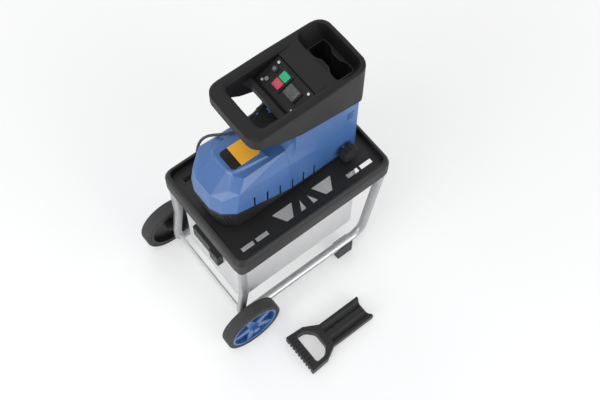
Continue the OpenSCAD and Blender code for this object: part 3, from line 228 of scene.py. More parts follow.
class ShredderSizes(bpy.types.PropertyGroup):
    """Roundings and small sizes that a user would change"""

    rim_round: bpy.props.FloatProperty(
        name="Rim rounding", description="Rounding of the head's outer upper edge",
        default=0.0068, min=0.002, max=0.0070, unit="LENGTH")
    grip_round: bpy.props.FloatProperty(
        name="Grip rounding", description="Rounding of the handle's inner upper edge",
        default=0.0110, min=0.002, max=0.014, unit="LENGTH")
    basin_round: bpy.props.FloatProperty(
        name="Basin rounding", description="Rounding of the edge around the feed basin",
        default=0.0024, min=0.001, max=0.0034, unit="LENGTH")
    cover_round: bpy.props.FloatProperty(
        name="Cover rounding", description="Rounding of the blue housing's creases",
        default=0.0024, min=0.0005, max=0.005, unit="LENGTH")
    tray_round: bpy.props.FloatProperty(
        name="Tray rounding", description="Rounding of the tray's outer edges",
        default=0.0046, min=0.001, max=0.005, unit="LENGTH")
    small_round: bpy.props.FloatProperty(
        name="Small rounding", description="Rounding of small moulded edges",
        default=0.0012, min=0.0002, max=0.003, unit="LENGTH")
    tube_radius: bpy.props.FloatProperty(
        name="Tube radius", description="Outside radius of the frame tubes",
        default=0.014, min=0.010, max=0.015, unit="LENGTH")
    cord_diameter: bpy.props.FloatProperty(
        name="Cord diameter", description="Outside diameter of the mains cord",
        default=0.008, min=0.006, max=0.010, unit="LENGTH")


class ShredderColours(bpy.types.PropertyGroup):
    """Colours that a user would change"""

    charcoal: bpy.props.FloatVectorProperty(
        name="Charcoal", description="Moulded parts of the tray and the head",
        default=(0.0145, 0.0145, 0.0155), min=0, max=1, subtype="COLOR")
    blue: bpy.props.FloatVectorProperty(
        name="Blue", description="Housing and wheel hubs",
        default=(0.050, 0.131, 0.335), min=0, max=1, subtype="COLOR")
    white: bpy.props.FloatVectorProperty(
        name="White", description="Collection box",
        default=(0.90, 0.90, 0.91), min=0, max=1, subtype="COLOR")
    tube: bpy.props.FloatVectorProperty(
        name="Tube", description="Galvanised frame tubes",
        default=(0.44, 0.445, 0.45), min=0, max=1, subtype="COLOR")
    amber: bpy.props.FloatVectorProperty(
        name="Amber", description="Amber part of the label place",
        default=(0.88, 0.42, 0.02), min=0, max=1, subtype="COLOR")
    start: bpy.props.FloatVectorProperty(
        name="Start", description="Start button",
        default=(0.012, 0.42, 0.19), min=0, max=1, subtype="COLOR")
    stop: bpy.props.FloatVectorProperty(
        name="Stop", description="Stop button",
        default=(0.62, 0.045, 0.085), min=0, max=1, subtype="COLOR")
    backdrop: bpy.props.FloatVectorProperty(
        name="Backdrop", description="Floor and background",
        default=(1.0, 1.0, 1.0), min=0, max=1, subtype="COLOR")


# Finishes
class Socket:
    """An output of a node: maths on it adds Math nodes"""

    def __init__(self, nodes, link):
        self.nodes = nodes
        self.link = link

    def maths(self, operation, first, second):
        settings = {"operation": operation}
        return self.nodes.node("ShaderNodeMath", settings, {0: first, 1: second})

    def __add__(self, other):
        return self.maths("ADD", self, other)

    def __radd__(self, other):
        return self.maths("ADD", other, self)

    def __sub__(self, other):
        return self.maths("SUBTRACT", self, other)

    def __rsub__(self, other):
        return self.maths("SUBTRACT", other, self)

    def __mul__(self, other):
        return self.maths("MULTIPLY", self, other)

    def __or__(self, other):
        return self.maths("MAXIMUM", self, other)


class Nodes:
    """A node tree under construction"""

    def __init__(self, tree):
        self.tree = tree

    def feed(self, sockets, values):
        """Links sockets to other nodes, or sets them"""
        for key, value in values.items():
            if isinstance(value, Socket):
                self.tree.links.new(value.link, sockets[key])
            else:
                sockets[key].default_value = value

    def node(self, kind, settings=None, inputs=None, output=0):
        """Adds a node, sets its settings and then its sockets, and returns one output"""
        made = self.tree.nodes.new(kind)
        for key, value in (settings or {}).items():
            setattr(made, key, value)
        self.feed(made.inputs, inputs or {})
        return Socket(self, made.outputs[output]) if made.outputs else None

    def seen_rays(self):
        """1 for rays from the camera, mirrors and clear pieces, and 0 for lighting rays"""
        camera, mirror, clear = (
            self.node("ShaderNodeLightPath", output=name)
            for name in ("Is Camera Ray", "Is Glossy Ray", "Is Transmission Ray"))
        return camera | mirror | clear


class Finish(Nodes):
    """A material under construction, with its pattern on Object coordinates"""

    def __init__(self, name):
        self.material = bpy.data.materials.new(name)
        self.material.use_nodes = True
        super().__init__(self.material.node_tree)
        self.place = self.node("ShaderNodeTexCoord", output="Object")

    def noise(self, scale, detail=2.0, stretch=None):
        place = self.place
        if stretch:
            place = self.node("ShaderNodeMapping", {}, {"Vector": place, "Scale": stretch})
        return self.node(
            "ShaderNodeTexNoise", {}, {"Vector": place, "Scale": scale, "Detail": detail})

    def ramp(self, value, dark, light):
        """0 where the value is below dark, 1 where it is above light, and even between"""
        made = self.node("ShaderNodeValToRGB", {}, {"Fac": value})
        first, last = made.link.node.color_ramp.elements
        first.position, last.position = dark, light
        return made

    def between(self, mask, low, high):
        """A colour from low, where the mask is 0, to high, where it is 1"""
        return self.node(
            "ShaderNodeMix", {"data_type": "RGBA"}, {0: mask, 6: (*low, 1), 7: (*high, 1)}, 2)

    def bump(self, height, strength, distance):
        inputs = {"Height": height, "Strength": strength, "Distance": distance}
        return self.node("ShaderNodeBump", {}, inputs, "Normal")

    def surface(self, **values):
        """Feeds the shader's sockets, and returns the material"""
        sockets = self.tree.nodes["Principled BSDF"].inputs
        self.feed(sockets, {key.replace("_", " "): value for key, value in values.items()})
        return self.material


def shade(colour, amount):
    return tuple(min(1.0, c * amount) for c in colour)


def moulded(name, colour, roughness, grain=1500.0, depth=0.00025, strength=0.16, variation=0.10,
            sheen=0.5, **extra):
    """Moulded plastic: fine eroded grain, faint flow clouding and dull patches"""
    f = Finish(name)
    fine = f.noise(scale=grain)
    cloud = f.noise(scale=14.0, detail=4.0)
    flow = f.noise(scale=46.0, stretch=(1, 1, 0.35))
    tone = f.ramp(cloud * 0.6 + flow * 0.4, dark=0.3, light=0.7)
    return f.surface(
        Base_Color=f.between(tone, shade(colour, 1 - variation), shade(colour, 1 + variation)),
        Roughness=roughness + (fine - 0.5) * 0.10 + (cloud - 0.5) * 0.12,
        Normal=f.bump(fine, strength, depth),
        Specular_IOR_Level=sheen,
        **extra,
    )


def milky(name, colour):
    """Thin white plastic that lets light through"""
    return moulded(
        name, colour, roughness=0.42, depth=0.00012, strength=0.10, variation=0.02,
        Subsurface_Weight=0.8, Subsurface_Radius=(0.035, 0.035, 0.035), Subsurface_Scale=1.0)


def galvanised(name, colour):
    """Zinc-coated tube: pale spangle, drawn lines along the tube and dull patches"""
    f = Finish(name)
    spangle = f.node(
        "ShaderNodeTexVoronoi", {"feature": "F1"}, {"Vector": f.place, "Scale": 130.0}, "Color")
    grey = f.node("ShaderNodeRGBToBW", {}, {"Color": spangle})
    lines = f.noise(scale=60.0, detail=3.0, stretch=(1, 12, 1))
    patch = f.noise(scale=20.0, detail=3.0)
    tone = f.ramp(grey * 0.5 + lines * 0.3 + patch * 0.3, dark=0.25, light=0.8)
    return f.surface(
        Base_Color=f.between(tone, shade(colour, 0.84), shade(colour, 1.12)),
        Metallic=0.85,
        Roughness=0.30 + tone * 0.16,
        Normal=f.bump(lines, strength=0.06, distance=0.0003),
    )


def machined(name, colour):
    """Turned or milled metal: fine tool lines and small stains"""
    f = Finish(name)
    lines = f.noise(scale=420.0, stretch=(1, 0.15, 1))
    stain = f.noise(scale=35.0, detail=4.0)
    tone = f.ramp(stain * 0.7 + lines * 0.3, dark=0.3, light=0.75)
    return f.surface(
        Base_Color=f.between(tone, shade(colour, 0.85), shade(colour, 1.1)),
        Metallic=0.9,
        Roughness=0.34 + (lines - 0.5) * 0.2,
        Normal=f.bump(lines, strength=0.08, distance=0.0002),
    )


def rubber(name, colour, roughness):
    """Rubber: matt, with a fine pitted skin and paler scuffs"""
    f = Finish(name)
    pits = f.noise(scale=900.0, detail=3.0)
    scuff = f.ramp(f.noise(scale=24.0, detail=6.0), dark=0.48, light=0.78)
    return f.surface(
        Base_Color=f.between(scuff, colour, shade(colour, 1.7)),
        Roughness=roughness + (pits - 0.5) * 0.14,
        Normal=f.bump(pits, strength=0.25, distance=0.0003),
    )


def film(name, colour, roughness=0.38, sheen=0.5):
    """Printed film of a label place, bare, with a faint weave and handling marks"""
    f = Finish(name)
    weave = f.noise(scale=1100.0, detail=1.0)
    marks = f.ramp(f.noise(scale=30.0, detail=5.0), dark=0.4, light=0.8)
    return f.surface(
        Base_Color=f.between(marks, colour, shade(colour, 0.9)),
        Roughness=roughness + marks * 0.14,
        Normal=f.bump(weave, strength=0.05, distance=0.0001),
        Specular_IOR_Level=sheen,
    )


def windings(name, dark, light):
    """Wound wire with lacquer"""
    f = Finish(name)
    strands = f.node(
        "ShaderNodeTexWave", {"wave_type": "BANDS", "bands_direction": "X"},
        {"Vector": f.place, "Scale": 320.0, "Distortion": 1.0}, "Fac")
    return f.surface(
        Base_Color=f.between(strands, dark, light),
        Metallic=0.8,
        Roughness=0.36 - strands * 0.1,
        Normal=f.bump(strands, strength=0.5, distance=0.0006),
    )


def clear_plastic(name, dark, light):
    """Smoky clear plastic of the boots over the switches"""
    f = Finish(name)
    haze = f.noise(scale=90.0)
    return f.surface(
        Base_Color=f.between(haze, dark, light),
        Roughness=0.24 + haze * 0.10,
        Alpha=0.34,
        Normal=f.bump(haze, strength=0.05, distance=0.0003),
    )


BUTTON_SKIN = {
    "roughness": 0.30, "grain": 1800.0, "depth": 0.0001, "strength": 0.08, "variation": 0.05,
}
FINISHES = {}


def finish(slot):
    """The material of a slot, made once"""
    if slot in FINISHES:
        return FINISHES[slot]
    c = bpy.context.scene.shredder_colours
    makers = {
        "charcoal_plastic": lambda: moulded(slot, c.charcoal, roughness=0.46, sheen=0.30),
        # Painted shade: the feed head is the tray's charcoal plastic, darkened to 0.72 and given
        # less sheen so that it reads as shaded
        "head_plastic_painted_shade": lambda: moulded(
            slot, shade(c.charcoal, 0.72), roughness=0.50, sheen=0.20),
        "blue_plastic": lambda: moulded(
            slot, c.blue, roughness=0.36, grain=1900.0, depth=0.00012, strength=0.10,
            variation=0.05),
        "white_plastic": lambda: milky(slot, c.white),
        "galvanised_tube": lambda: galvanised(slot, c.tube),
        "steel": lambda: machined(slot, (0.58, 0.585, 0.59)),
        "cast_alloy": lambda: moulded(
            slot, (0.46, 0.465, 0.47), roughness=0.46, grain=700.0, depth=0.0004, strength=0.3,
            variation=0.08),
        "copper_windings": lambda: windings(slot, (0.24, 0.07, 0.025), (0.62, 0.24, 0.09)),
        "tyre_rubber": lambda: rubber(slot, (0.024, 0.024, 0.025), roughness=0.72),
        "amber_label": lambda: film(slot, c.amber),
        "dark_label": lambda: film(slot, (0.010, 0.010, 0.011), roughness=0.34, sheen=0.22),
        "grey_plastic": lambda: moulded(
            slot, (0.25, 0.255, 0.26), roughness=0.34, depth=0.0001, strength=0.1,
            variation=0.06),
        "clear_lens": lambda: clear_plastic(slot, (0.15, 0.155, 0.16), (0.22, 0.225, 0.23)),
        "green_plastic": lambda: moulded(slot, c.start, **BUTTON_SKIN),
        "red_plastic": lambda: moulded(slot, c.stop, **BUTTON_SKIN),
        "cord_rubber": lambda: rubber(slot, (0.016, 0.016, 0.017), roughness=0.55),
    }
    FINISHES[slot] = makers[slot]()
    return FINISHES[slot]


# Modelling helpers
def settle(obj, body, slot, stands_for=()):
    """Gives a piece its finish and its body"""
    obj.data.materials.clear()
    obj.data.materials.append(finish(slot))
    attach(obj, body)
    if stands_for:
        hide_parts(*stands_for)
    return obj


def piece(bm, name, body, slot, stands_for=(), crease=38):
    """Turns a bmesh into a smooth-shaded piece with its sharp creases kept"""
    mesh = bpy.data.meshes.new(name)
    bm.to_mesh(mesh)
    bm.free()
    mesh.shade_smooth()
    mesh.set_sharp_from_angle(angle=math.radians(crease))
    obj = bpy.data.objects.new(name, mesh)
    bpy.context.scene.collection.objects.link(obj)
    return settle(obj, body, slot, stands_for)


def only(geom, kind):
    return [item for item in geom if isinstance(item, kind)]


def everything(bm):
    return bm.verts[:] + bm.edges[:] + bm.faces[:]


def closed(bm):
    """Merges a new shape's doubles and turns its faces outwards"""
    bmesh.ops.remove_doubles(bm, verts=bm.verts, dist=OWN_DOUBLES)
    bmesh.ops.recalc_face_normals(bm, faces=bm.faces)
    return bm


def merged(node, cuts=(), flat=0.5):
    """A copy of a frame node with its flat faces joined, and cut where one would be a ring"""
    bm = bmesh.new()
    bm.from_mesh(frame["nodes"][node].data)
    bmesh.ops.remove_doubles(bm, verts=bm.verts, dist=FRAME_DOUBLES)
    low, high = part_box(node)
    for axis, at in ((0, (low.x + high.x) / 2), (1, (low.y + high.y) / 2), *cuts):
        normal = Vector((0, 0, 0))
        normal[axis] = 1
        cut = bmesh.ops.bisect_plane(
            bm, geom=everything(bm), dist=CUT_DOUBLES, plane_co=normal * at, plane_no=normal)
        for edge in only(cut["geom_cut"], bmesh.types.BMEdge):
            edge.seam = True
    bmesh.ops.dissolve_limit(
        bm, angle_limit=math.radians(flat), use_dissolve_boundaries=False,
        verts=bm.verts[:], edges=bm.edges[:], delimit={"SEAM"})
    return bm


def body_of(node):
    return frame["nodes"][node]["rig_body"]


def leaving(edge, vert):
    """The way from one end of an edge to the other"""
    return edge.other_vert(vert).co - vert.co


def runs(widths):
    """Groups rounded edges that go on nearly straight: one edge of its group for every edge"""
    first = {edge: edge for edge in widths}

    def head(edge):
        while first[edge] is not edge:
            edge = first[edge]
        return edge

    for edge in widths:
        for vert in edge.verts:
            for other in vert.link_edges:
                if other not in first or other is edge:
                    continue
                if leaving(edge, vert).angle(-leaving(other, vert), NO_TURN) < RUN_TURN:
                    first[head(edge)] = head(other)
    return {edge: head(edge) for edge in widths}


def fit(bm, widths):
    """Cuts widths down where two roundings would meet on an edge

    The cut is even along each run, and the main roundings are held.
    """
    group = runs(widths)
    held = {group[edge] for edge, width in widths.items() if width > HELD_WIDTH}
    for _ in range(FIT_ROUNDS):
        cut = {}
        for edge in bm.edges:
            room = ROOM_SHARE * edge.calc_length()
            own = widths.get(edge, 0)
            for loop in edge.link_loops:
                after = loop.link_loop_next
                need, causes = 0.0, []
                for corner, side in ((loop, loop.link_loop_prev.edge), (after, after.edge)):
                    turn = corner.calc_angle()
                    if not corner.is_convex or turn > STRAIGHT_TURN:
                        continue
                    move = widths.get(side, 0) + own * math.cos(turn)
                    move /= max(math.sin(turn), LEAST_SINE)
                    if move > 0:
                        need += move
                        causes += [e for e in (edge, side) if e in widths and group[e] not in held]
                if need > room:
                    share = max(STRONGEST_CUT, room / need)
                    for cause in causes:
                        cut[group[cause]] = min(cut.get(group[cause], 1), share)
        if not cut:
            return
        for edge in widths:
            widths[edge] *= cut.get(group[edge], 1)


def drop_slivers(bm, widths):
    """Joins nearly flat faces whose shared edge runs into a rounded edge at a slant"""
    slivers = []
    for edge in bm.edges:
        if edge in widths or edge.seam or len(edge.link_faces) != 2:
            continue
        if edge.calc_face_angle(0) > SLIVER_BEND:
            continue
        turns = [
            leaving(edge, vert).angle(leaving(other, vert), NO_TURN)
            for vert in edge.verts for other in vert.link_edges if other in widths
        ]
        if any(math.sin(turn) < SLIVER_SINE for turn in turns):
            slivers.append(edge)
    bmesh.ops.dissolve_edges(bm, edges=slivers, use_verts=False, use_face_split=False)
    bm.normal_update()


def soften(node, slot, width, crease=28, segments=3, cuts=(), flat=0.5, hollows=True):
    """A frame node with its creases rounded

    The width is a size, or a function of an edge's middle, its angle in degrees and the edge.
    """
    bm = merged(node, cuts, flat)
    bmesh.ops.dissolve_degenerate(bm, dist=TINY_EDGE, edges=bm.edges)
    layer = bm.edges.layers.float.new("bevel_weight_edge")
    widths = {}
    for edge in bm.edges:
        if len(edge.link_faces) != 2:
            continue
        angle = math.degrees(edge.calc_face_angle(0))
        if angle < crease or not (hollows or edge.is_convex):
            continue
        middle = (edge.verts[0].co + edge.verts[1].co) / 2
        size = width(middle, angle, edge) if callable(width) else width
        smaller = min(face.calc_area() for face in edge.link_faces)
        band = smaller / max(edge.calc_length(), TINY_EDGE)
        if angle > FACET_BEND or band > 2 * size:
            widths[edge] = size
    drop_slivers(bm, widths)
    widths = {edge: size for edge, size in widths.items() if edge.is_valid}
    fit(bm, widths)
    widest = max(widths.values(), default=0)
    if widest <= 0:
        raise RuntimeError(f"{node} has no crease to round")
    for edge, size in widths.items():
        edge[layer] = size / widest
    obj = piece(bm, node + "_soft", body_of(node), slot, (node,), crease=60)
    bevel = obj.modifiers.new("Rounding", "BEVEL")
    bevel.width = widest
    bevel.segments = segments
    bevel.profile = 0.5
    bevel.limit_method = "WEIGHT"
    bevel.offset_type = "OFFSET"
    bevel.use_clamp_overlap = False
    bevel.loop_slide = True
    bevel.material = -1
    normals = obj.modifiers.new("Even normals", "WEIGHTED_NORMAL")
    normals.keep_sharp = True
    return obj


def soften_all(*rows):
    """Rounds frame nodes: rows of node, slot and width"""
    for node, slot, width in rows:
        soften(node, slot, width)


def coat(node, slot):
    """Keeps a frame node's own shape and gives it a finish"""
    obj = frame["nodes"][node]
    obj.data.materials.clear()
    obj.data.materials.append(finish(slot))
    return obj


def turned(profile, centre, axis, steps, ring=True):
    """Turns a profile of (radius, along) about an axis

    The profile is a closed ring, or runs from the axis back to the axis.
    """
    axis = Vector(axis).normalized()
    side = axis.orthogonal().normalized()
    bm = bmesh.new()
    verts = [bm.verts.new(Vector(centre) + side * r + axis * a) for r, a in profile]
    nexts = verts[1:] + verts[:1] if ring else verts[1:]
    edges = [bm.edges.new(pair) for pair in zip(verts, nexts)]
    bmesh.ops.spin(
        bm, geom=verts + edges, cent=Vector(centre), axis=axis, angle=2 * math.pi, steps=steps,
        use_merge=True, use_normal_flip=False, use_duplicate=False)
    if not ring:
        bmesh.ops.dissolve_degenerate(bm, dist=AXIS_DOUBLES, edges=bm.edges)
    return closed(bm)


def round_edges(bm, edges, rounding, segments):
    bmesh.ops.bevel(
        bm, geom=edges, offset=rounding, offset_type="OFFSET", segments=segments, profile=0.5,
        affect="EDGES", clamp_overlap=True, material=-1)


def slab(low, high, rounding, segments=2, matrix=None):
    """A block with rounded edges, between two corners"""
    low, high = Vector(low), Vector(high)
    bm = bmesh.new()
    bmesh.ops.create_cube(bm, size=1)
    bmesh.ops.scale(bm, vec=high - low, verts=bm.verts)
    bmesh.ops.translate(bm, vec=(low + high) / 2, verts=bm.verts)
    round_edges(bm, bm.edges[:], rounding, segments)
    if matrix:
        bmesh.ops.transform(bm, matrix=matrix, verts=bm.verts)
    return bm


def joined(parts):
    """Several bmeshes in one"""
    whole = bmesh.new()
    for bm in parts:
        scratch = bpy.data.meshes.new("scratch")
        bm.to_mesh(scratch)
        bm.free()
        whole.from_mesh(scratch)
        bpy.data.meshes.remove(scratch)
    return whole


class SHREDDER_OT_stage(bpy.types.Operator):
    """Camera at the photograph's angle, soft lights and a pale floor"""

    bl_idname = "shredder.stage"
    bl_label = "Stage"

    def execute(self, context):
        scene = context.scene
        scene.view_settings.view_transform = "Standard"
        white = (*scene.shredder_colours.backdrop, 1)
        self.set_camera(scene)
        self.set_room(scene, white)
        self.set_lamps(scene)
        self.set_floor(scene, white)
        return {"FINISHED"}

    def point(self, obj, place, heading, scene):
        """Puts a camera or a lamp in its place and turns it along a heading"""
        obj.location = place
        obj.rotation_mode = "QUATERNION"
        obj.rotation_quaternion = heading.to_track_quat("-Z", "Y")
        scene.collection.objects.link(obj)

    def set_camera(self, scene):
        level = math.cos(CAMERA_ELEVATION)
        back = Vector((math.sin(CAMERA_AZIMUTH) * level, -math.cos(CAMERA_AZIMUTH) * level,
                       math.sin(CAMERA_ELEVATION)))
        camera = bpy.data.cameras.new("camera")
        camera.sensor_width = CAMERA_SENSOR
        camera.lens = CAMERA_LENS
        camera.shift_x, camera.shift_y = CAMERA_SHIFT
        view = bpy.data.objects.new("camera", camera)
        self.point(view, CAMERA_PLACE, -back, scene)
        scene.camera = view

    def set_room(self, scene, white):
        """A pale room for the lighting, and a white one for what is seen"""
        world = bpy.data.worlds.new("studio")
        world.use_nodes = True
        world.node_tree.nodes.clear()
        sky = Nodes(world.node_tree)
        room = sky.node(
            "ShaderNodeBackground", {}, {"Color": ROOM_COLOUR, "Strength": ROOM_STRENGTH})
        seen = sky.node("ShaderNodeBackground", {}, {"Color": white, "Strength": 1.0})
        mix = sky.node("ShaderNodeMixShader", {}, {"Fac": sky.seen_rays(), 1: room, 2: seen})
        sky.node("ShaderNodeOutputWorld", {}, {"Surface": mix})
        scene.world = world

    def set_lamps(self, scene):
        for name, place, size, power in LAMPS:
            lamp = bpy.data.lights.new(name, "AREA")
            lamp.shape = "DISK"
            lamp.size = size
            lamp.energy = power
            light = bpy.data.objects.new(name, lamp)
            self.point(light, place, LAMP_AIM - Vector(place), scene)

    def set_floor(self, scene, white):
        """A sheet of white paper that glows away from the machine"""
        bm = bmesh.new()
        bmesh.ops.create_grid(bm, x_segments=1, y_segments=1, size=FLOOR_REACH)
        bmesh.ops.translate(bm, vec=(0, 0, FLOOR_Z), verts=bm.verts)
        mesh = bpy.data.meshes.new("floor")
        bm.to_mesh(mesh)
        bm.free()
        floor = bpy.data.objects.new("floor", mesh)
        scene.collection.objects.link(floor)
        paper = bpy.data.materials.new("paper")
        paper.use_nodes = True
        paper.node_tree.nodes.clear()
        sheet = Nodes(paper.node_tree)
        place = sheet.node("ShaderNodeTexCoord", output="Object")
        far = sheet.node("ShaderNodeVectorMath", {"operation": "LENGTH"}, {0: place}, "Value")
        fade = sheet.node("ShaderNodeMapRange", {}, {
            "Value": far, "From Min": GLOW_FROM, "From Max": GLOW_TO,
            "To Min": GLOW_LEAST, "To Max": 1.0,
        }, "Result")
        matt = sheet.node("ShaderNodeBsdfDiffuse", {}, {"Color": white})
        glow = sheet.node("ShaderNodeEmission", {}, {"Color": white, "Strength": FLOOR_GLOW})
        share = sheet.seen_rays() * fade
        mix = sheet.node("ShaderNodeMixShader", {}, {"Fac": share, 1: matt, 2: glow})
        sheet.node("ShaderNodeOutputMaterial", {}, {"Surface": mix})
        floor.data.materials.append(paper)


class SHREDDER_OT_cord(bpy.types.Operator):
    """Mains cord over the cover's far edge, its gland and its plug"""

    bl_idname = "shredder.cord"
    bl_label = "Mains cord"

    def execute(self, context):
        size = context.scene.shredder_sizes.cord_diameter
        curve = bpy.data.curves.new("mains_cord", "CURVE")
        curve.dimensions = "3D"
        line = curve.splines.new("POLY")
        line.points.add(len(CORD_ROUTE) - 1)
        for point, place in zip(line.points, CORD_ROUTE):
            point.co = (*place, 1)
        curve.bevel_depth = size / 2
        curve.bevel_resolution = CORD_RESOLUTION
        curve.use_fill_caps = True
        cord = bpy.data.objects.new("mains_cord_flex", curve)
        context.scene.collection.objects.link(cord)
        settle(cord, "machine", "cord_rubber", ("mains_cord",))
        plug = soften("mains_plug", "cord_rubber", 0.0012)
        soften("cord_gland", "charcoal_plastic", 0.0008)
        return {"FINISHED"}


class SHREDDER_OT_side_frames(bpy.types.Operator):
    """Two bent side frames with their rail feet"""

    bl_idname = "shredder.side_frames"
    bl_label = "Side frames"

    def execute(self, context):
        radius = context.scene.shredder_sizes.tube_radius
        for name, y in (("near_side_frame", -FRAME_Y), ("far_side_frame", FRAME_Y)):
            tube = self.bent_tube(y, radius)
            piece(tube, name + "_tube", "machine", "galvanised_tube", (name,), crease=50)
        soften_all(
            ("near_rail_foot", "charcoal_plastic", 0.0022),
            ("far_rail_foot", "charcoal_plastic", 0.0022),
        )
        return {"FINISHED"}

    def bent_tube(self, y, radius):
        """A tube along the frame's centre line: straight stretches, and spun bends between them"""
        path = [Vector((x, y, z)) for x, z in FRAME_PATH]
        headings = [(b - a).normalized() for a, b in zip(path, path[1:])]
        bm = bmesh.new()
        start = bmesh.ops.create_circle(
            bm, cap_ends=True, segments=TUBE_SIDES, radius=radius)["verts"]
        turn = headings[0].to_track_quat("Z", "Y").to_matrix().to_4x4()
        bmesh.ops.transform(bm, matrix=Matrix.Translation(path[0]) @ turn, verts=start)
        ring = [e for e in bm.edges if all(v in start for v in e.verts)]
        at = path[0]
        afters = headings[1:] + headings[-1:]
        for corner, bend, heading, after in zip(path[1:], FRAME_BENDS[1:], headings, afters):
            angle = heading.angle(after)
            stop = corner - heading * bend * math.tan(angle / 2)
            moved = bmesh.ops.extrude_edge_only(bm, edges=ring)["geom"]
            bmesh.ops.translate(bm, vec=stop - at, verts=only(moved, bmesh.types.BMVert))
            ring = only(moved, bmesh.types.BMEdge)
            at = stop
            if bend:
                axis = heading.cross(after).normalized()
                middle = stop + axis.cross(heading) * bend
                geom = ring + list({v for e in ring for v in e.verts})
                steps = max(LEAST_BEND_STEPS, int(math.degrees(angle) / BEND_STEP))
                spun = bmesh.ops.spin(
                    bm, geom=geom, cent=middle, axis=axis, angle=angle, steps=steps)
                ring = only(spun["geom_last"], bmesh.types.BMEdge)
                at = corner + after * bend * math.tan(angle / 2)
        bmesh.ops.contextual_create(bm, geom=ring)
        return closed(bm)


class SHREDDER_OT_tray(bpy.types.Operator):
    """Base tray with its rim, deck and strut windows"""

    bl_idname = "shredder.tray"
    bl_label = "Base tray"

    def execute(self, context):
        sizes = context.scene.shredder_sizes

        def width(middle, angle, edge):
            if middle.z > TRAY_RIM_Z:
                outer = abs(middle.x) > TRAY_OUTER_X or abs(middle.y) > TRAY_OUTER_Y
                return sizes.tray_round if outer else RIM_INNER_ROUND
            if middle.z < TRAY_FOOT_Z:
                return TRAY_FOOT_ROUND
            return sizes.small_round

        soften("base_tray", "charcoal_plastic", width, cuts=[(1, -TRAY_CUT_Y), (1, TRAY_CUT_Y)])
        soften_all(
            ("chip_chute", "charcoal_plastic", 0.0006),
            ("near_box_runner", "charcoal_plastic", 0.0008),
            ("far_box_runner", "charcoal_plastic", 0.0008),
        )
        for side, name in ((-1, "near_deck_lips"), (1, "far_deck_lips")):
            y0, y1 = (side * y for y in DECK_LIP_Y)
            lips = [self.lip(x0, x1, y0, y1) for x0, x1 in DECK_LIPS]
            piece(joined(lips), name, "machine", "charcoal_plastic")
        return {"FINISHED"}

    def lip(self, x0, x1, y0, y1):
        """A low frame that stands on the deck"""
        bm = bmesh.new()
        bmesh.ops.create_grid(bm, x_segments=1, y_segments=1, size=0.5)
        bmesh.ops.scale(bm, vec=(x1 - x0, abs(y1 - y0), 1), verts=bm.verts)
        place = ((x0 + x1) / 2, (y0 + y1) / 2, DECK_Z - LIP_SUNK)
        bmesh.ops.translate(bm, vec=place, verts=bm.verts)
        middle = bm.faces[:]
        bmesh.ops.inset_region(
            bm, faces=middle, thickness=LIP_BAR, use_boundary=True, use_even_offset=True)
        bmesh.ops.delete(bm, geom=middle, context="FACES")
        bmesh.ops.solidify(bm, geom=bm.faces[:], thickness=-LIP_RISE)
        closed(bm)
        upper = [e for e in bm.edges if min(v.co.z for v in e.verts) > DECK_Z]
        round_edges(bm, upper, LIP_ROUND, segments=2)
        return bm


class SHREDDER_OT_wheels(bpy.types.Operator):
    """Tyres, hubs, axle, spacers and end caps"""

    bl_idname = "shredder.wheels"
    bl_label = "Wheels"

    def execute(self, context):
        for side, which in ((-1, "near"), (1, "far")):
            low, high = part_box(which + "_tyre")
            radius = (high.z - low.z) / 2
            width = high.y - low.y
            middle = (low + high) / 2
            body = which + "_wheel"
            piece(self.tyre(middle, radius, width), which + "_tyre_tread", body, "tyre_rubber",
                  (which + "_tyre",), crease=WHEEL_CREASE)
            soften(which + "_wheel_hub", "blue_plastic", 0.0011)
            profile = [(r, side * (a - width / 2)) for r, a in WHEEL_LINING]
            piece(turned(profile, middle, (0, 1, 0), LINING_STEPS), which + "_wheel_lining", body,
                  "charcoal_plastic", crease=WHEEL_CREASE)
        coat("axle", "steel")
        soften_all(
            ("axle_spacers", "charcoal_plastic", 0.0006),
            ("axle_caps", "blue_plastic", 0.0022),
        )
        return {"FINISHED"}

    def tyre(self, middle, radius, width):
        """Tread with rounded shoulders, a moulding line and a stepped wall"""
        half = width / 2
        inner = radius - TYRE_THICKNESS
        right = [
            (inner, half - 0.001), (inner + 0.0035, half - 0.0002), (inner + 0.0055, half),
            (radius - 0.0062, half), (radius - 0.0040, half - 0.0004),
            (radius - 0.0022, half - 0.0013), (radius - 0.0008, half - 0.0029),
            (radius - 0.0001, half - 0.0052), (radius, half - 0.0075),
            (radius, 0.0013), (radius - 0.0004, 0.0009), (radius - 0.0004, 0.0004),
        ]
        profile = right + [(r, -a) for r, a in reversed(right)]
        return turned(profile, middle, (0, 1, 0), TYRE_STEPS)


class SHREDDER_OT_collection_box(bpy.types.Operator):
    """White collection box and its black grip"""

    bl_idname = "shredder.collection_box"
    bl_label = "Collection box"

    def execute(self, context):
        soften_all(
            ("collection_box", "white_plastic", 0.0011),
            ("box_grip", "charcoal_plastic", 0.0016),
        )
        return {"FINISHED"}


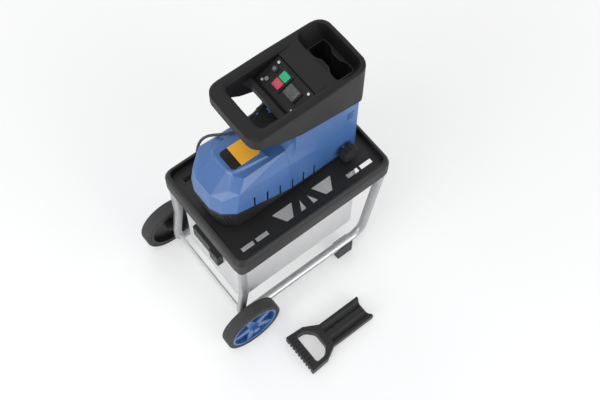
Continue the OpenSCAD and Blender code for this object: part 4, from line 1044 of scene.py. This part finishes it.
class SHREDDER_OT_housing(bpy.types.Operator):
    """Black base, blue cover and column, rear panel and the bare label places"""

    bl_idname = "shredder.housing"
    bl_label = "Housing"

    def execute(self, context):
        sizes = context.scene.shredder_sizes

        def cover(middle, angle, edge):
            return sizes.cover_round if angle < COVER_CREASE else sizes.small_round

        soften("motor_cover", "blue_plastic", cover, crease=7, flat=3, hollows=False)
        soften("column_housing", "blue_plastic", cover, crease=7, cuts=COLUMN_CUTS, flat=3,
               hollows=False)
        soften("base_housing", "charcoal_plastic", sizes.small_round, crease=12, flat=3,
               hollows=False)
        soften_all(
            ("rear_panel", "charcoal_plastic", 0.001),
            ("cover_screws", "steel", 0.0004),
        )
        coat("label_plate", "amber_label")
        coat("rating_plate", "dark_label")
        base = merged("base_housing")
        tree = BVHTree.FromBMesh(base)
        base.free()
        ribs = [self.rib(tree, step) for step in RIB_STEPS]
        piece(joined(ribs), "nose_ribs", "machine", "charcoal_plastic")
        slats = [
            slab((SLAT_X[0], SLAT_Y[0], z), (SLAT_X[1], SLAT_Y[1], z + SLAT_HEIGHT), SLAT_ROUND)
            for z in SLAT_Z
        ]
        piece(joined(slats), "column_slats", "machine", "blue_plastic")
        return {"FINISHED"}

    def rib(self, tree, step):
        """A rib between two places where rays along X meet the nose"""
        low = Vector((RAY_X, step * RIB_LOW_PITCH, RIB_LOW_Z))
        high = Vector((RAY_X, step * RIB_HIGH_PITCH, RIB_HIGH_Z))
        first, normal = tree.ray_cast(low, Vector((1, 0, 0)))[:2]
        last = tree.ray_cast(high, Vector((1, 0, 0)))[0]
        along = (last - first).normalized()
        side = along.cross(normal).normalized()
        turn = Matrix((side, along, side.cross(along))).transposed().to_4x4()
        width, length = RIB_WIDTH / 2, (last - first).length / 2
        return slab((-width, -length, -RIB_SUNK), (width, length, RIB_RISE), RIB_WIDTH * RIB_ROUND,
                    matrix=Matrix.Translation((first + last) / 2) @ turn)


class SHREDDER_OT_feed_head(bpy.types.Operator):
    """Feed head with its handle loop, basin and chute"""

    bl_idname = "shredder.feed_head"
    bl_label = "Feed head"

    def execute(self, context):
        sizes = context.scene.shredder_sizes

        def width(middle, angle, edge):
            if min(v.co.z for v in edge.verts) < HEAD_UPPER_Z:
                return HEAD_LOW_ROUND
            wall = min(edge.link_faces, key=lambda face: face.normal.z).normal
            centre = BASIN_X if middle.x > LOOP_END_X else LOOP_X
            if wall.x * (middle.x - centre) + wall.y * middle.y > 0:
                return sizes.rim_round
            return sizes.basin_round if centre == BASIN_X else sizes.grip_round

        head = soften("feed_head", "charcoal_plastic", width, crease=24, segments=5, flat=6)
        # The head takes the darkened copy of the charcoal, which is painted shade and not a
        # plastic of its own
        head.data.materials[0] = finish("head_plastic_painted_shade")
        coat("feed_chute", "charcoal_plastic")
        return {"FINISHED"}


class SHREDDER_OT_control_panel(bpy.types.Operator):
    """Control panel with its screws, buttons, selector, reset and lens"""

    bl_idname = "shredder.control_panel"
    bl_label = "Control panel"

    def execute(self, context):
        soften("control_panel", "dark_label", 0.0006, cuts=PANEL_CUTS)
        soften_all(
            ("panel_screws", "steel", 0.0003),
            ("switch_base", "charcoal_plastic", 0.0009),
            ("start_button", "green_plastic", 0.0014),
            ("stop_button", "red_plastic", 0.0014),
            ("selector_bezel", "charcoal_plastic", 0.0016),
            ("direction_rocker", "charcoal_plastic", 0.0008),
            ("reset_collar", "charcoal_plastic", 0.0012),
            ("reset_button", "grey_plastic", 0.0012),
            ("indicator_lens", "grey_plastic", 0.001),
        )
        piece(self.mark(*START_BAR), "start_mark", "start", "white_plastic")
        ring = turned(STOP_RING, STOP_PLACE, (0, 0, 1), MARK_STEPS)
        piece(self.on_panel(ring), "stop_mark", "stop", "white_plastic")
        dome = turned(RESET_DOME, RESET_PLACE, (0, 0, 1), MARK_STEPS, ring=False)
        piece(self.on_panel(dome), "reset_boot", "machine", "clear_lens")
        piece(self.boot(), "selector_boot", "machine", "clear_lens")
        low_w, high_w = ROCKER_MARK_W
        marks = [
            self.mark((ROCKER_MARK_U - half, v - ROCKER_MARK_HALF, low_w),
                      (ROCKER_MARK_U + half, v + ROCKER_MARK_HALF, high_w))
            for v, half in ROCKER_MARKS
        ]
        piece(joined(marks), "rocker_marks", "rocker", "white_plastic")
        return {"FINISHED"}

    def on_panel(self, bm):
        bmesh.ops.transform(bm, matrix=PANEL, verts=bm.verts)
        return bm

    def mark(self, low, high):
        return slab(low, high, MARK_ROUND, segments=1, matrix=PANEL)

    def boot(self):
        """Smoky cover over the selector: a thin shell, open below"""
        bm = slab(*SELECTOR_BOOT, BOOT_ROUND, segments=3)
        bmesh.ops.bisect_plane(bm, geom=everything(bm), plane_co=(0, 0, BOOT_FOOT),
                               plane_no=(0, 0, -1), clear_outer=True)
        bmesh.ops.solidify(bm, geom=bm.faces[:], thickness=BOOT_WALL)
        return closed(self.on_panel(bm))


class SHREDDER_OT_knobs(bpy.types.Operator):
    """Lock knob, adjusting knob and what they turn"""

    bl_idname = "shredder.knobs"
    bl_label = "Knobs"

    def execute(self, context):
        soften("lock_knob", "charcoal_plastic", 0.0018, hollows=False)
        soften("adjusting_knob", "charcoal_plastic", 0.0011)
        for node in ("lock_stud", "adjusting_screw", "guide_pins", "pressure_plate"):
            coat(node, "steel")
        return {"FINISHED"}


class SHREDDER_OT_plunger(bpy.types.Operator):
    """Loose plunger on the floor"""

    bl_idname = "shredder.plunger"
    bl_label = "Plunger"

    def execute(self, context):
        soften("plunger", "charcoal_plastic", 0.0014)
        return {"FINISHED"}


class SHREDDER_OT_drive(bpy.types.Operator):
    """Finishes of the motor, gears and cutter inside the housing"""

    bl_idname = "shredder.drive"
    bl_label = "Drive"

    def execute(self, context):
        for node, slot in (
            ("motor_can", "cast_alloy"),
            ("motor_stator", "copper_windings"),
            ("motor_rotor", "steel"),
            ("motor_fan", "charcoal_plastic"),
            ("motor_bearings", "steel"),
            ("motor_pinion", "steel"),
            ("gearbox_case", "cast_alloy"),
            ("layshaft", "steel"),
            ("intermediate_gear", "steel"),
            ("final_gear", "steel"),
            ("cutter_roller", "steel"),
            ("roller_bearings", "cast_alloy"),
        ):
            coat(node, slot)
        return {"FINISHED"}


class SHREDDER_PT_panel(bpy.types.Panel):
    """Lists the sizes, the colours and the pieces"""

    bl_label = "Shredder"
    bl_idname = "SHREDDER_PT_panel"
    bl_space_type = "VIEW_3D"
    bl_region_type = "UI"
    bl_category = "Shredder"

    def draw(self, context):
        for group in (context.scene.shredder_sizes, context.scene.shredder_colours):
            for key in group.__annotations__:
                self.layout.prop(group, key)
        for operator in OPERATORS:
            self.layout.operator(operator.bl_idname)


OPERATORS = (
    SHREDDER_OT_stage, SHREDDER_OT_cord, SHREDDER_OT_side_frames, SHREDDER_OT_tray,
    SHREDDER_OT_wheels, SHREDDER_OT_collection_box, SHREDDER_OT_housing, SHREDDER_OT_feed_head,
    SHREDDER_OT_control_panel, SHREDDER_OT_knobs, SHREDDER_OT_plunger, SHREDDER_OT_drive,
)
CLASSES = (ShredderSizes, ShredderColours) + OPERATORS + (SHREDDER_PT_panel,)


def register():
    for cls in CLASSES:
        bpy.utils.register_class(cls)
    bpy.types.Scene.shredder_sizes = bpy.props.PointerProperty(type=ShredderSizes)
    bpy.types.Scene.shredder_colours = bpy.props.PointerProperty(type=ShredderColours)


def unregister():
    del bpy.types.Scene.shredder_sizes
    del bpy.types.Scene.shredder_colours
    for cls in reversed(CLASSES):
        bpy.utils.unregister_class(cls)


def main():
    register()
    bpy.ops.shredder.stage()
    bpy.ops.shredder.cord()
    bpy.ops.shredder.side_frames()
    bpy.ops.shredder.tray()
    bpy.ops.shredder.wheels()
    bpy.ops.shredder.collection_box()
    bpy.ops.shredder.housing()
    bpy.ops.shredder.feed_head()
    bpy.ops.shredder.control_panel()
    bpy.ops.shredder.knobs()
    bpy.ops.shredder.plunger()
    bpy.ops.shredder.drive()


if __name__ == "__main__":
    main()
